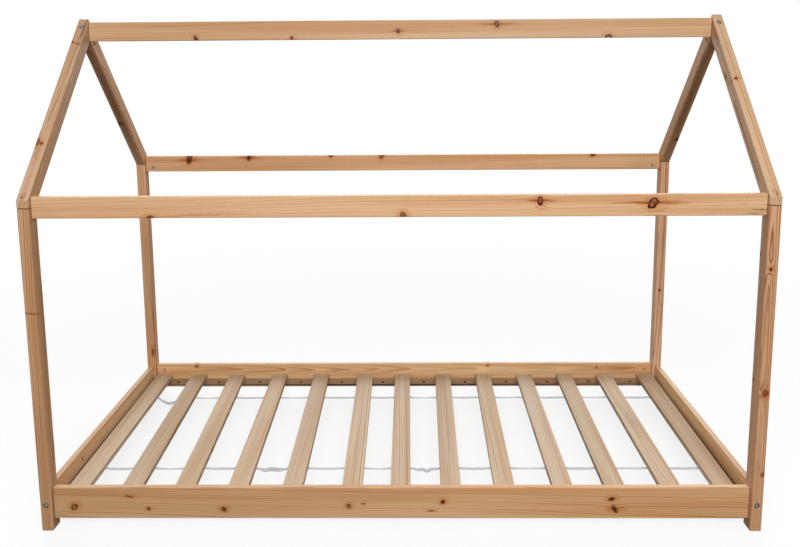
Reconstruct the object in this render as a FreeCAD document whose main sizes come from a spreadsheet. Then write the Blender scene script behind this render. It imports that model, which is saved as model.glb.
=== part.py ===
import FreeCAD, Part
import os
import re

import Sketcher

# House frame bed for a child, in solid pine: four posts, four rafters and a ridge beam make the
# outline of a house round a low bed base with a roll of loose slats.
# Frame of the model: X along the bed, Y across it, Z up from the floor, origin on the floor under
# the middle of the bed. The front is -Y and the left gable is -X.

V = FreeCAD.Vector

# ---------------------------------------------------------------------------------------------
# Driving sizes, in millimetres. Each one is a cell of the sheet, and is written only here.
# ---------------------------------------------------------------------------------------------
SIZES = {
    # the bed as a whole
    "bed_length": 2060,
    "bed_width": 980,
    "ridge_height": 1471.5,
    # posts and rafters
    "post_width": 33,
    "post_depth": 45,
    "post_height": 943,
    "rafter_depth": 48,
    "nose_height": 23.5,
    "bar_rounding": 3,
    "bar_end_chamfer": 1.5,
    # boards between the posts
    "board_thickness": 18,
    "board_rounding": 2.5,
    "board_end_chamfer": 1,
    "base_board_height": 95,
    "base_board_rise": 31,
    "top_board_height": 60,
    "ridge_drop": 10,
    # battens that carry the slats
    "batten_width": 18,
    "batten_height": 18,
    "batten_rise": 17,
    "batten_end_gap": 8,
    "batten_rounding": 1,
    # slats
    "slat_count": 13,
    "slat_width": 60,
    "slat_thickness": 18,
    "slat_rounding": 1.5,
    "slat_end_gap": 4,
    "slat_side_gap": 3,
    # tapes under the slats, and their staples
    "tape_width": 12,
    "tape_thickness": 0.8,
    "front_tape_inset": 202,
    "back_tape_inset": 186,
    "staple_crown": 9,
    "staple_leg": 6,
    "staple_wire": 0.9,
    # joint bolts and barrel nuts
    "bolt_diameter": 8,
    "bolt_overrun": 5,
    "long_bolt_overrun": 3,
    "bolt_tip_chamfer": 1,
    "bolt_head_diameter": 15.4,
    "bolt_head_height": 2.6,
    "bolt_head_chamfer": 0.6,
    "bolt_socket_width": 5,
    "bolt_socket_depth": 4,
    "bolt_hole_clearance": 0.25,
    "bolt_end_clearance": 4,
    "recess_depth": 4,
    "recess_clearance": 0.8,
    "nut_diameter": 12,
    "nut_setback": 30,
    "nut_skin": 2,
    "nut_recess": 2,
    "nut_bore_clearance": 0.02,
    "nut_hole_clearance": 0.15,
    "nut_slot_width": 1.6,
    "nut_slot_depth": 1.2,
    "apex_bolt_rise": 20.5,
    "apex_nut_setback": 27.8,
    # dowels
    "dowel_diameter": 8,
    "dowel_length": 30,
    "dowel_in_bar": 11,
    "dowel_chamfer": 0.8,
    "dowel_hole_clearance": 0.05,
    "dowel_end_clearance": 0.5,
    # screws that hold the rafter feet down on the posts
    "foot_screw_setback": 10,
    "foot_screw_length": 70,
    "foot_screw_diameter": 6,
    "foot_screw_head_diameter": 13,
    "foot_screw_head_height": 3.5,
    "foot_screw_land": 19,
    "foot_screw_recess_diameter": 16,
    "foot_screw_head_dome": 1,
    "screw_tip_radius": 0.3,
    "screw_fit_clearance": 0.02,
    "screw_hole_clearance": 0.25,
    "screw_end_clearance": 1,
    "screw_slot_width": 1.1,
    "screw_slot_depth": 1.4,
    # screws that hold the battens on the side boards
    "batten_screw_count": 12,
    "batten_screw_inset": 82,
    "batten_screw_length": 30,
    "batten_screw_diameter": 4,
    "batten_screw_head_diameter": 8,
}

# Sizes that follow from the driving ones. The name stands for the formula wherever it is used.
DERIVED = {
    "clear_length": "bed_length - 2 * post_width",
    "clear_width": "bed_width - 2 * post_depth",
    "board_offset": "(post_depth - board_thickness) / 2",
    "base_width": "bed_width - 2 * board_offset - 2 * board_thickness",
    "end_board_offset": "(post_width - board_thickness) / 2",
    "base_board_middle": "base_board_rise + base_board_height / 2",
    "top_board_middle": "post_height",
    "ridge_middle": "ridge_height - ridge_drop - top_board_height / 2",
    "roof_rise": "ridge_height - post_height - nose_height",
    "roof_run": "bed_width / 2",
    "roof_side": "sqrt(roof_rise ^ 2 + roof_run ^ 2)",
    "roof_sin": "roof_rise / roof_side",
    "roof_cos": "roof_run / roof_side",
    "plumb_depth": "rafter_depth / roof_cos",
    "seat_length": "(plumb_depth - nose_height) * roof_run / roof_rise",
    "nut_hole_depth": "board_thickness - nut_skin",
    "nut_length": "board_thickness - nut_skin - nut_recess",
    "nut_reach": "nut_setback + nut_diameter / 2 - recess_depth",
    "bolt_length": "post_width + nut_reach + bolt_overrun",
    "long_bolt_length": "post_depth + nut_reach + long_bolt_overrun",
    # the apex bolt crosses the rafters' joint a little above its foot, and on a flatter roof its
    # nut sits nearer the joint, because the bolt runs down out of the back rafter sooner
    "apex_bolt_fall": "plumb_depth - apex_bolt_rise",
    "apex_bolt_distance": "apex_bolt_fall * roof_sin",
    "apex_nut_y": "apex_nut_setback * (roof_rise / roof_run) ^ 2",
    "apex_nut_z": "ridge_height - apex_bolt_fall - apex_nut_y * roof_cos / roof_sin",
    "apex_nut_depth": "apex_bolt_fall * roof_cos + apex_nut_y / roof_sin",
    "apex_bolt_length": "apex_nut_depth - recess_depth + nut_diameter / 2 + long_bolt_overrun",
    "batten_bottom": "base_board_rise + batten_rise",
    "slat_bottom": "batten_bottom + batten_height",
    "batten_length": "clear_length - 2 * batten_end_gap",
    "batten_screw_pitch": "(batten_length - 2 * batten_screw_inset) / (batten_screw_count - 1)",
    "slat_length": "base_width - 2 * slat_end_gap",
    "slat_pitch": "(clear_length - 2 * slat_side_gap - slat_width) / (slat_count - 1)",
    "front_tape_y": "front_tape_inset - base_width / 2",
    "back_tape_y": "base_width / 2 - back_tape_inset",
    "bolt_hole_radius": "bolt_diameter / 2 + bolt_hole_clearance",
    "recess_radius": "bolt_head_diameter / 2 + recess_clearance",
    "nut_hole_radius": "nut_diameter / 2 + nut_hole_clearance",
    "dowel_hole_radius": "dowel_diameter / 2 + dowel_hole_clearance",
    "dowel_in_board": "dowel_length - dowel_in_bar",
    "bolt_in_board": "bolt_length + recess_depth - post_width",
    "long_bolt_in_board": "long_bolt_length + recess_depth - post_depth",
}

# The slats lie loose: each has slid along the battens from its even place, in millimetres, and
# turned a little, in degrees, with its back end towards +X.
SLAT_SLIDE = (2, -8, -12, -7, -3, 13, -1, -6, -7, 1, -3, -2, -2)
SLAT_TURN = (-0.4, -1.7, -2.0, -1.1, -0.7, -0.7, -0.3, 0.5, 0.6, 0.1, 0.5, 0.1, 0.4)
# How far each tape hangs down between two slats, in millimetres, from the left.
FRONT_TAPE_SAG = (3, 4, 2, 7, 3, 4, 8, 3, 2, 3, 2, 2)
BACK_TAPE_SAG = (22, 5, 3, 4, 2, 3, 4, 3, 2, 4, 3, 5)

doc = FreeCAD.newDocument("HouseFrameBed")
sheet = doc.addObject("Spreadsheet::Sheet", "Sizes")
for row, (size_name, size_value) in enumerate(SIZES.items(), start=1):
    sheet.set("A%d" % row, size_name)
    sheet.set("B%d" % row, str(size_value))
    sheet.setAlias("B%d" % row, size_name)
doc.recompute()


# ---------------------------------------------------------------------------------------------
# Helpers
# ---------------------------------------------------------------------------------------------
def formula(text):
    """The expression in which each size's name has become its cell of the sheet."""
    def expand(match):
        word = match.group(0)
        if word in SIZES:
            return "Sizes." + word
        if word in DERIVED:
            return "(" + formula(DERIVED[word]) + ")"
        return word
    return re.sub(r"[a-z][a-z_0-9]*", expand, text)


def number(text):
    """The value of a formula with the sheet's present numbers, angles in degrees."""
    value = sheet.evalExpression(formula(text))
    return float(getattr(value, "Value", value))


def bind(item, **formulas):
    """Bind properties of an object to formulas; a double underscore stands for a dot."""
    for name, text in formulas.items():
        item.setExpression(name.replace("__", "."), formula(text))


def place(item, x="0", y="0", z="0"):
    """Bind an object's position to three formulas."""
    bind(item, Placement__Base__x=x, Placement__Base__y=y, Placement__Base__z=z)


def new_body(label):
    """A new body under its own label."""
    body = doc.addObject("PartDesign::Body", label)
    body.Label = label
    return body


def origin_feature(body, role):
    """One of the planes or axes of a body's origin, found by its role."""
    return [item for item in body.Origin.OriginFeatures if item.Role == role][0]


def new_sketch(body, role, offset="0"):
    """A sketch on an origin plane of the body, moved along the plane's normal by an offset."""
    sketch = body.newObject("Sketcher::SketchObject", body.Name + "_sketch")
    sketch.AttachmentSupport = (origin_feature(body, role), [""])
    sketch.MapMode = "FlatFace"
    bind(sketch, AttachmentOffset__Base__z=offset)
    return sketch


def pin_point(sketch, geometry, point, x, y):
    """Hold a point of a sketch's geometry at two formulas from the sketch's origin."""
    for kind, text in (("DistanceX", x), ("DistanceY", y)):
        constraint = Sketcher.Constraint(kind, -1, 1, geometry, point, number(text))
        index = sketch.addConstraint(constraint)
        sketch.setExpression("Constraints[%d]" % index, formula(text))


def add_outline(sketch, corners):
    """A closed outline of straight lines through corners, each given by two formulas."""
    points = [V(number(x), number(y), 0) for x, y in corners]
    first = sketch.GeometryCount
    count = len(points)
    for index in range(count):
        sketch.addGeometry(Part.LineSegment(points[index], points[(index + 1) % count]))
    for index in range(count):
        following = first + (index + 1) % count
        sketch.addConstraint(Sketcher.Constraint("Coincident", first + index, 2, following, 1))
    for index, (x, y) in enumerate(corners):
        pin_point(sketch, first + index, 1, x, y)


def add_rectangle(sketch, left, bottom, right, top):
    """A rectangle between two corners."""
    add_outline(sketch, ((left, bottom), (right, bottom), (right, top), (left, top)))


def add_circles(sketch, radius, centres):
    """Circles of one radius about centres, each given by two formulas."""
    for x, y in centres:
        circle = Part.Circle(V(number(x), number(y), 0), V(0, 0, 1), number(radius))
        index = sketch.addGeometry(circle)
        constraint = sketch.addConstraint(Sketcher.Constraint("Radius", index, number(radius)))
        sketch.setExpression("Constraints[%d]" % constraint, formula(radius))
        pin_point(sketch, index, 3, x, y)


def pad(body, sketch, length, symmetric=False):
    """Pad a sketch along its normal, to both sides where it is symmetric."""
    feature = body.newObject("PartDesign::Pad", body.Name + "_pad")
    feature.Profile = sketch
    if symmetric:
        feature.SideType = "Symmetric"
    bind(feature, Length=length)
    doc.recompute()
    return feature


def pocket(body, sketch, depth=None, along_normal=False):
    """Cut a sketch into the body, against its normal or along it; with no depth, right through."""
    before = body.Shape.Volume
    feature = body.newObject("PartDesign::Pocket", body.Name + "_pocket")
    feature.Profile = sketch
    feature.Reversed = along_normal
    if depth is None:
        feature.Type = "ThroughAll"
    else:
        bind(feature, Length=depth)
    doc.recompute()
    if body.Shape.Volume >= before - 0.01:
        raise RuntimeError("a pocket of %s cuts nothing" % body.Label)
    return feature


def bore(body, role, offset, radius, centres, depth=None, along_normal=False):
    """Round holes of one radius from an offset origin plane."""
    sketch = new_sketch(body, role, offset)
    add_circles(sketch, radius, centres)
    return pocket(body, sketch, depth, along_normal)


def mirror_features(body, features, role):
    """Repeat features of a body on the other side of one of its origin planes."""
    feature = body.newObject("PartDesign::Mirrored", body.Name + "_mirrored")
    feature.Originals = features
    feature.MirrorPlane = (origin_feature(body, role), [""])
    body.Tip = feature
    doc.recompute()
    return feature


def edges_along(shape, direction, at_least):
    """Names of a shape's straight edges that run along a direction and are long enough."""
    names = []
    for index, edge in enumerate(shape.Edges, start=1):
        if edge.Curve.TypeId == "Part::GeomLine" and edge.Length >= at_least:
            if abs(edge.tangentAt(edge.FirstParameter).dot(direction)) > 0.999:
                names.append("Edge%d" % index)
    return names


def edges_in_plane(shape, normal, distance):
    """Names of a shape's edges that lie in the plane at a distance along a normal."""
    names = []
    for index, edge in enumerate(shape.Edges, start=1):
        middle = edge.valueAt((edge.FirstParameter + edge.LastParameter) / 2)
        points = [vertex.Point for vertex in edge.Vertexes] + [middle]
        if all(abs(point.dot(normal) - distance) < 0.001 for point in points):
            names.append("Edge%d" % index)
    return names


def round_edges(body, names, radius):
    """Round named edges of the body's last feature."""
    last = body.Tip
    feature = body.newObject("PartDesign::Fillet", body.Name + "_rounding")
    feature.Base = (last, names)
    bind(feature, Radius=radius)
    doc.recompute()
    return feature


def chamfer_edges(body, names, size):
    """Chamfer named edges of the body's last feature."""
    last = body.Tip
    feature = body.newObject("PartDesign::Chamfer", body.Name + "_chamfer")
    feature.Base = (last, names)
    bind(feature, Size=size)
    doc.recompute()
    return feature


def turn(x_to, z_to):
    """The rotation that takes +X and +Z to two given directions at right angles."""
    return FreeCAD.Rotation(x_to, z_to.cross(x_to), z_to, "ZXY")


def copy_of(source, rotation=None, x="0", y="0", z="0"):
    """A linked copy of an object, turned and then placed by formulas."""
    link = doc.addObject("App::Link", source.Name + "_copy")
    link.LinkedObject = source
    if rotation is not None:
        link.Placement = FreeCAD.Placement(V(0, 0, 0), rotation)
    place(link, x, y, z)
    return link


def mirrored(source, normal, label=None):
    """The mirror image of an object in the middle plane of the bed across a normal."""
    feature = doc.addObject("Part::Mirroring", label or source.Name + "_mirror")
    feature.Source = source
    feature.Base = V(0, 0, 0)
    feature.Normal = normal
    if label:
        feature.Label = label
    return feature


def group(label, items):
    """One object that holds several separate solids."""
    feature = doc.addObject("Part::Compound", label)
    feature.Label = label
    feature.Links = items
    return feature


ALONG = V(1, 0, 0)
ACROSS = V(0, 1, 0)
UP = V(0, 0, 1)
sub_parts = []


def mirrored_group(label, items, normals):
    """Items and their images across each normal in turn, as one group of separate solids."""
    sets = [group(label + "_set", items)]
    for normal in normals:
        sets = sets + [mirrored(item, normal) for item in sets]
    return group(label, sets)


# ---------------------------------------------------------------------------------------------
# Fasteners. Each lies along +Z from its outer end, which is at the origin.
# ---------------------------------------------------------------------------------------------
def add_socket(body, width, depth):
    """A hexagon socket in the outer end of a bolt."""
    across_corners = "%s / sqrt(3)" % width
    corners = []
    for step in range(6):
        corners.append(("%s * cos(%d deg)" % (across_corners, 60 * step),
                        "%s * sin(%d deg)" % (across_corners, 60 * step)))
    sketch = new_sketch(body, "XY_Plane")
    add_outline(sketch, corners)
    return pocket(body, sketch, depth, along_normal=True)


def add_cross(body, reach):
    """A cross recess in the outer end of a screw."""
    arm = "%s / 2" % reach
    half = "screw_slot_width / 2"
    corners = []
    for across, up in ((1, 1), (-1, 1), (-1, -1), (1, -1)):
        outer = ("%d * %s" % (across, arm), "%d * %s" % (up, half))
        inner = ("%d * %s" % (across, half), "%d * %s" % (up, half))
        end = ("%d * %s" % (across, half), "%d * %s" % (up, arm))
        corners += [outer, inner, end] if across * up > 0 else [end, inner, outer]
    sketch = new_sketch(body, "XY_Plane")
    add_outline(sketch, corners)
    return pocket(body, sketch, "screw_slot_depth", along_normal=True)


def turned_body(label, profile):
    """A body turned about Z from a half profile of radius and depth."""
    body = new_body(label)
    sketch = new_sketch(body, "XZ_Plane")
    add_outline(sketch, profile)
    feature = body.newObject("PartDesign::Revolution", label + "_revolution")
    feature.Profile = sketch
    feature.ReferenceAxis = (sketch, ["V_Axis"])
    feature.Angle = 360
    doc.recompute()
    return body


def bolt(label, length):
    """A joint bolt with a flat head and a hexagon socket; its length is taken under the head."""
    shank = "bolt_diameter / 2"
    head = "bolt_head_diameter / 2"
    tip = "bolt_head_height + %s" % length
    body = turned_body(label, (
        ("0", "0"),
        ("%s - bolt_head_chamfer" % head, "0"),
        (head, "bolt_head_chamfer"),
        (head, "bolt_head_height"),
        (shank, "bolt_head_height"),
        (shank, "%s - bolt_tip_chamfer" % tip),
        ("%s - bolt_tip_chamfer" % shank, tip),
        ("0", tip),
    ))
    add_socket(body, "bolt_socket_width", "bolt_socket_depth")
    return body


def wood_screw(label, diameter, length, head_profile, cross_reach):
    """A wood screw with a cross recess and a pointed end."""
    shank = "%s / 2" % diameter
    profile = (("0", "0"),) + head_profile + (
        (shank, "%s - %s" % (length, diameter)),
        ("screw_tip_radius", length),
        ("0", length),
    )
    body = turned_body(label, profile)
    add_cross(body, cross_reach)
    return body


def barrel_nut(label):
    """A barrel nut about the origin: it lies along X with its slotted end at +X, bored along Z."""
    body = new_body(label)
    sketch = new_sketch(body, "YZ_Plane")
    add_circles(sketch, "nut_diameter / 2", (("0", "0"),))
    pad(body, sketch, "nut_length", symmetric=True)
    bore(body, "XY_Plane", "nut_diameter", "bolt_diameter / 2 + nut_bore_clearance", (("0", "0"),))
    slot = new_sketch(body, "YZ_Plane", "nut_length / 2")
    add_rectangle(slot, "-nut_diameter", "-nut_slot_width / 2", "nut_diameter", "nut_slot_width / 2")
    pocket(body, slot, "nut_slot_depth")
    return body


def dowel(label):
    """A fluteless wooden dowel along Z from the origin, with its ends chamfered."""
    body = new_body(label)
    sketch = new_sketch(body, "XY_Plane")
    add_circles(sketch, "dowel_diameter / 2", (("0", "0"),))
    pad(body, sketch, "dowel_length")
    rims = ["Edge%d" % index for index, edge in enumerate(body.Shape.Edges, start=1)
            if edge.Curve.TypeId == "Part::GeomCircle"]
    chamfer_edges(body, rims, "dowel_chamfer")
    return body


short_bolt = bolt("short_bolt", "bolt_length")
long_bolt = bolt("long_bolt", "long_bolt_length")
roof_bolt = bolt("roof_bolt", "apex_bolt_length")
nut = barrel_nut("barrel_nut")
peg = dowel("dowel")
foot_screw = wood_screw(
    "foot_screw", "foot_screw_diameter", "foot_screw_head_height + foot_screw_length",
    (("foot_screw_head_diameter / 2 - foot_screw_head_dome", "0"),
     ("foot_screw_head_diameter / 2", "foot_screw_head_height / 2"),
     ("foot_screw_head_diameter / 2", "foot_screw_head_height"),
     ("foot_screw_diameter / 2", "foot_screw_head_height")),
    "foot_screw_diameter")
batten_screw = wood_screw(
    "batten_screw", "batten_screw_diameter", "batten_screw_length",
    (("batten_screw_head_diameter / 2", "0"),
     ("batten_screw_diameter / 2",
      "(batten_screw_head_diameter - batten_screw_diameter) / 2")),
    "batten_screw_diameter")


# ---------------------------------------------------------------------------------------------
# Posts
# ---------------------------------------------------------------------------------------------
# Heights of the fasteners of a board: bolt and dowel stand at quarters of its height.
BASE_BOLT_Z = "base_board_middle + base_board_height / 4"
BASE_DOWEL_Z = "base_board_middle - base_board_height / 4"
TOP_BOLT_Z = "top_board_middle - top_board_height / 4"
TOP_DOWEL_Z = "top_board_middle + top_board_height / 4"
RIDGE_BOLT_Z = "ridge_middle + top_board_height / 4"
RIDGE_DOWEL_Z = "ridge_middle - top_board_height / 4"
# Tilt of the front roof slope, about the X axis.
ROOF_ANGLE = "atan(roof_rise / roof_run)"


def post(label):
    """The front left post, from its outer front corner, with the holes for its neighbours."""
    body = new_body(label)
    section = new_sketch(body, "XY_Plane")
    add_rectangle(section, "0", "0", "post_width", "post_depth")
    pad(body, section, "post_height")
    upright = edges_along(body.Shape, UP, number("post_height / 2"))
    round_edges(body, upright, "min(bar_rounding; post_width / 5)")
    end_edges = (edges_in_plane(body.Shape, UP, 0)
                 + edges_in_plane(body.Shape, UP, number("post_height")))
    chamfer_edges(body, end_edges, "bar_end_chamfer")
    # along the bed: bolts of the side board and of the eave board, and the side board's dowel
    along_bolts = (("post_depth / 2", BASE_BOLT_Z), ("post_depth / 2", TOP_BOLT_Z))
    bore(body, "YZ_Plane", "0", "bolt_hole_radius", along_bolts, along_normal=True)
    bore(body, "YZ_Plane", "0", "recess_radius", along_bolts, "recess_depth", along_normal=True)
    bore(body, "YZ_Plane", "post_width", "dowel_hole_radius", (("post_depth / 2", BASE_DOWEL_Z),),
         "dowel_in_bar + dowel_end_clearance")
    # across the bed: the end board's bolt and its two dowels
    across_bolt = (("post_width / 2", "base_board_middle"),)
    across_dowels = (("post_width / 2", BASE_BOLT_Z), ("post_width / 2", BASE_DOWEL_Z))
    bore(body, "XZ_Plane", "0", "bolt_hole_radius", across_bolt)
    bore(body, "XZ_Plane", "0", "recess_radius", across_bolt, "recess_depth")
    bore(body, "XZ_Plane", "-post_depth", "dowel_hole_radius", across_dowels,
         "dowel_in_bar + dowel_end_clearance", along_normal=True)
    # from the top: the screw through the rafter's foot
    bore(body, "XY_Plane", "post_height", "foot_screw_diameter / 2 + screw_fit_clearance",
         (("post_width / 2", "foot_screw_setback"),),
         "foot_screw_length - foot_screw_land + screw_end_clearance")
    place(body, "-bed_length / 2", "-bed_width / 2", "0")
    return body


post_front_left = post("post_front_left")
post_front_right = mirrored(post_front_left, ALONG, "post_front_right")
post_back_left = mirrored(post_front_left, ACROSS, "post_back_left")
post_back_right = mirrored(post_back_left, ALONG, "post_back_right")
sub_parts += [post_front_left, post_front_right, post_back_left, post_back_right]


# ---------------------------------------------------------------------------------------------
# Rafters
# ---------------------------------------------------------------------------------------------
def roof_sketch(body):
    """A sketch in the plane of the front roof slope, with its origin at the apex."""
    sketch = new_sketch(body, "XY_Plane", "ridge_height")
    tilt = FreeCAD.Rotation(ALONG, number(ROOF_ANGLE))
    sketch.AttachmentOffset = FreeCAD.Placement(V(0, 0, number("ridge_height")), tilt)
    bind(sketch, AttachmentOffset__Rotation__Angle=ROOF_ANGLE)
    return sketch


def rafter(label, side):
    """The left rafter of a roof side, -1 in front and 1 at the back, from the gable's outer face."""
    body = new_body(label)
    section = new_sketch(body, "YZ_Plane")
    corners = [
        ("%d * bed_width / 2" % side, "post_height"),
        ("%d * (bed_width / 2 - seat_length)" % side, "post_height"),
        ("0", "ridge_height - plumb_depth"),
        ("0", "ridge_height"),
        ("%d * bed_width / 2" % side, "post_height + nose_height"),
    ]
    add_outline(section, corners if side < 0 else corners[::-1])
    pad(body, section, "post_width")
    slope = V(0, -side * number("roof_cos"), number("roof_sin"))
    long_edges = edges_along(body.Shape, slope, number("roof_side / 2"))
    nose_edges = [name for name in edges_along(body.Shape, UP, number("nose_height / 2"))
                  if abs(body.Shape.getElement(name).BoundBox.YMin) > number("bed_width / 4")]
    round_edges(body, long_edges + nose_edges, "min(bar_rounding; post_width / 5)")
    seat_edges = edges_in_plane(body.Shape, UP, number("post_height"))
    chamfer_edges(body, seat_edges, "bar_end_chamfer")
    # along the bed: the ridge beam's bolt and dowel share the joint of the two rafters
    ridge_bolt = (("0", RIDGE_BOLT_Z),)
    bore(body, "YZ_Plane", "0", "bolt_hole_radius", ridge_bolt, along_normal=True)
    bore(body, "YZ_Plane", "0", "recess_radius", ridge_bolt, "recess_depth", along_normal=True)
    dowels = (("0", RIDGE_DOWEL_Z), ("%d * (bed_width - post_depth) / 2" % side, TOP_DOWEL_Z))
    bore(body, "YZ_Plane", "post_width", "dowel_hole_radius", dowels,
         "dowel_in_bar + dowel_end_clearance")
    # down through the foot: the screw into the post, its head deep in a wide recess
    screw = (("post_width / 2", "%d * (bed_width / 2 - foot_screw_setback)" % side),)
    bore(body, "XY_Plane", "post_height", "foot_screw_diameter / 2 + screw_hole_clearance", screw,
         along_normal=True)
    bore(body, "XY_Plane", "post_height + foot_screw_land", "foot_screw_recess_diameter / 2",
         screw, along_normal=True)
    place(body, "-bed_length / 2", "0", "0")
    return body


def bore_apex(body, radius, depth):
    """A round hole at right angles to the front slope, for the bolt that joins two rafters."""
    sketch = roof_sketch(body)
    add_circles(sketch, radius, (("post_width / 2", "-apex_bolt_distance"),))
    return pocket(body, sketch, depth)


rafter_front_left = rafter("rafter_front_left", -1)
bore_apex(rafter_front_left, "bolt_hole_radius", "apex_nut_depth")
bore_apex(rafter_front_left, "recess_radius", "recess_depth")

rafter_back_left = rafter("rafter_back_left", 1)
bore_apex(rafter_back_left, "bolt_hole_radius",
          "recess_depth + apex_bolt_length + bolt_end_clearance")
bore(rafter_back_left, "YZ_Plane", "post_width", "nut_hole_radius",
     (("apex_nut_y", "apex_nut_z"),), "post_width / 2 + nut_length / 2")

rafter_front_right = mirrored(rafter_front_left, ALONG, "rafter_front_right")
rafter_back_right = mirrored(rafter_back_left, ALONG, "rafter_back_right")
sub_parts += [rafter_front_left, rafter_front_right, rafter_back_left, rafter_back_right]


# ---------------------------------------------------------------------------------------------
# Boards
# ---------------------------------------------------------------------------------------------
def board(label, length, height, bolt_height, dowel_heights, bolt_reach):
    """A board along X about its own middle, bolted and pegged at both ends, nuts from its +Y face."""
    body = new_body(label)
    section = new_sketch(body, "YZ_Plane")
    add_rectangle(section, "-board_thickness / 2", "-%s / 2" % height,
                  "board_thickness / 2", "%s / 2" % height)
    pad(body, section, length, symmetric=True)
    long_edges = edges_along(body.Shape, ALONG, number(length) / 2)
    round_edges(body, long_edges, "min(board_rounding; board_thickness / 4)")
    half = number(length) / 2
    end_edges = (edges_in_plane(body.Shape, ALONG, -half)
                 + edges_in_plane(body.Shape, ALONG, half))
    chamfer_edges(body, end_edges, "board_end_chamfer")
    left_end = "-(%s) / 2" % length
    bolt_hole = bore(body, "YZ_Plane", left_end, "bolt_hole_radius", (("0", bolt_height),),
                     "%s + bolt_end_clearance" % bolt_reach, along_normal=True)
    dowel_holes = bore(body, "YZ_Plane", left_end, "dowel_hole_radius",
                       [("0", dowel_height) for dowel_height in dowel_heights],
                       "dowel_in_board + dowel_end_clearance", along_normal=True)
    nut_hole = bore(body, "XZ_Plane", "-board_thickness / 2", "nut_hole_radius",
                    (("%s + nut_setback" % left_end, bolt_height),), "nut_hole_depth",
                    along_normal=True)
    mirror_features(body, [bolt_hole, dowel_holes, nut_hole], "YZ_Plane")
    return body


def bore_row(body, radius, height, depth, count, pitch):
    """A row of round holes along X into the +Y face of a board, about its middle."""
    first = "-%s * (%s - 1) / 2" % (pitch, count)
    hole = bore(body, "XZ_Plane", "-board_thickness / 2", radius, ((first, height),), depth,
                along_normal=True)
    return repeat_row(body, [hole], count, pitch)


def repeat_row(body, features, count, pitch):
    """Repeat features of a body along its X axis."""
    row = body.newObject("PartDesign::LinearPattern", body.Name + "_row")
    row.Originals = features
    row.Direction = (origin_feature(body, "X_Axis"), [""])
    bind(row, Length="%s * (%s - 1)" % (pitch, count), Occurrences=count)
    body.Tip = row
    doc.recompute()
    return row


BOARD_Y = "-bed_width / 2 + post_depth / 2"
END_BOARD_X = "-bed_length / 2 + post_width / 2"

side_board_front = board("side_board_front", "clear_length", "base_board_height",
                         "base_board_height / 4", ("-base_board_height / 4",), "bolt_in_board")
bore_row(side_board_front, "batten_screw_diameter / 2 + screw_fit_clearance",
         "batten_bottom + batten_height / 2 - base_board_middle",
         "batten_screw_length - batten_width + screw_end_clearance",
         "batten_screw_count", "batten_screw_pitch")
place(side_board_front, "0", BOARD_Y, "base_board_middle")
side_board_back = mirrored(side_board_front, ACROSS, "side_board_back")

end_board_left = board("end_board_left", "clear_width", "base_board_height", "0",
                       ("base_board_height / 4", "-base_board_height / 4"), "long_bolt_in_board")
end_board_left.Placement = FreeCAD.Placement(V(0, 0, 0), FreeCAD.Rotation(UP, -90))
place(end_board_left, END_BOARD_X, "0", "base_board_middle")
end_board_right = mirrored(end_board_left, ALONG, "end_board_right")

eave_board_front = board("eave_board_front", "clear_length", "top_board_height",
                         "-top_board_height / 4", ("top_board_height / 4",), "bolt_in_board")
place(eave_board_front, "0", BOARD_Y, "top_board_middle")
eave_board_back = mirrored(eave_board_front, ACROSS, "eave_board_back")

ridge_beam = board("ridge_beam", "clear_length", "top_board_height",
                   "top_board_height / 4", ("-top_board_height / 4",), "bolt_in_board")
place(ridge_beam, "0", "0", "ridge_middle")
sub_parts += [side_board_front, side_board_back, end_board_left, end_board_right,
              eave_board_front, eave_board_back, ridge_beam]


# ---------------------------------------------------------------------------------------------
# Battens
# ---------------------------------------------------------------------------------------------
def batten(label):
    """The front batten along X, against the side board's inner face, with countersunk holes."""
    body = new_body(label)
    section = new_sketch(body, "YZ_Plane")
    add_rectangle(section, "0", "0", "batten_width", "batten_height")
    pad(body, section, "batten_length", symmetric=True)
    long_edges = edges_along(body.Shape, ALONG, number("batten_length / 2"))
    round_edges(body, long_edges, "min(batten_rounding; batten_width / 5)")
    first_screw = "-batten_screw_pitch * (batten_screw_count - 1) / 2"
    centre = new_sketch(body, "XZ_Plane", "-batten_width")
    add_circles(centre, "batten_screw_diameter / 2", ((first_screw, "batten_height / 2"),))
    doc.recompute()
    hole = body.newObject("PartDesign::Hole", label + "_screw_hole")
    hole.Profile = centre
    hole.Reversed = True
    hole.Threaded = False
    hole.DepthType = "ThroughAll"
    hole.HoleCutType = "Countersink"
    hole.HoleCutCountersinkAngle = 90
    bind(hole, Diameter="batten_screw_diameter + 2 * screw_hole_clearance",
         HoleCutDiameter="batten_screw_head_diameter + 2 * screw_hole_clearance")
    before = body.Shape.Volume
    doc.recompute()
    if hole.Shape.Volume >= before:
        raise RuntimeError("the batten's screw hole cuts nothing")
    repeat_row(body, [hole], "batten_screw_count", "batten_screw_pitch")
    place(body, "0", "-base_width / 2", "batten_bottom")
    return body


batten_front = batten("batten_front")
batten_back = mirrored(batten_front, ACROSS, "batten_back")
sub_parts += [batten_front, batten_back]


# ---------------------------------------------------------------------------------------------
# Fasteners in their places
# ---------------------------------------------------------------------------------------------
SUNK = "recess_depth - bolt_head_height"
LEFT_FACE = "-bed_length / 2"
FRONT_FACE = "-bed_width / 2"
into_x = turn(UP, ALONG)
into_y = turn(ALONG, ACROSS)
nut_in_side = turn(ACROSS, ALONG)
nut_in_end = turn(ALONG, ACROSS)
nut_x = "-clear_length / 2 + nut_setback"
nut_middle = "board_thickness / 2 - nut_hole_depth + nut_length / 2"
both_ways = (ALONG, ACROSS)

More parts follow.
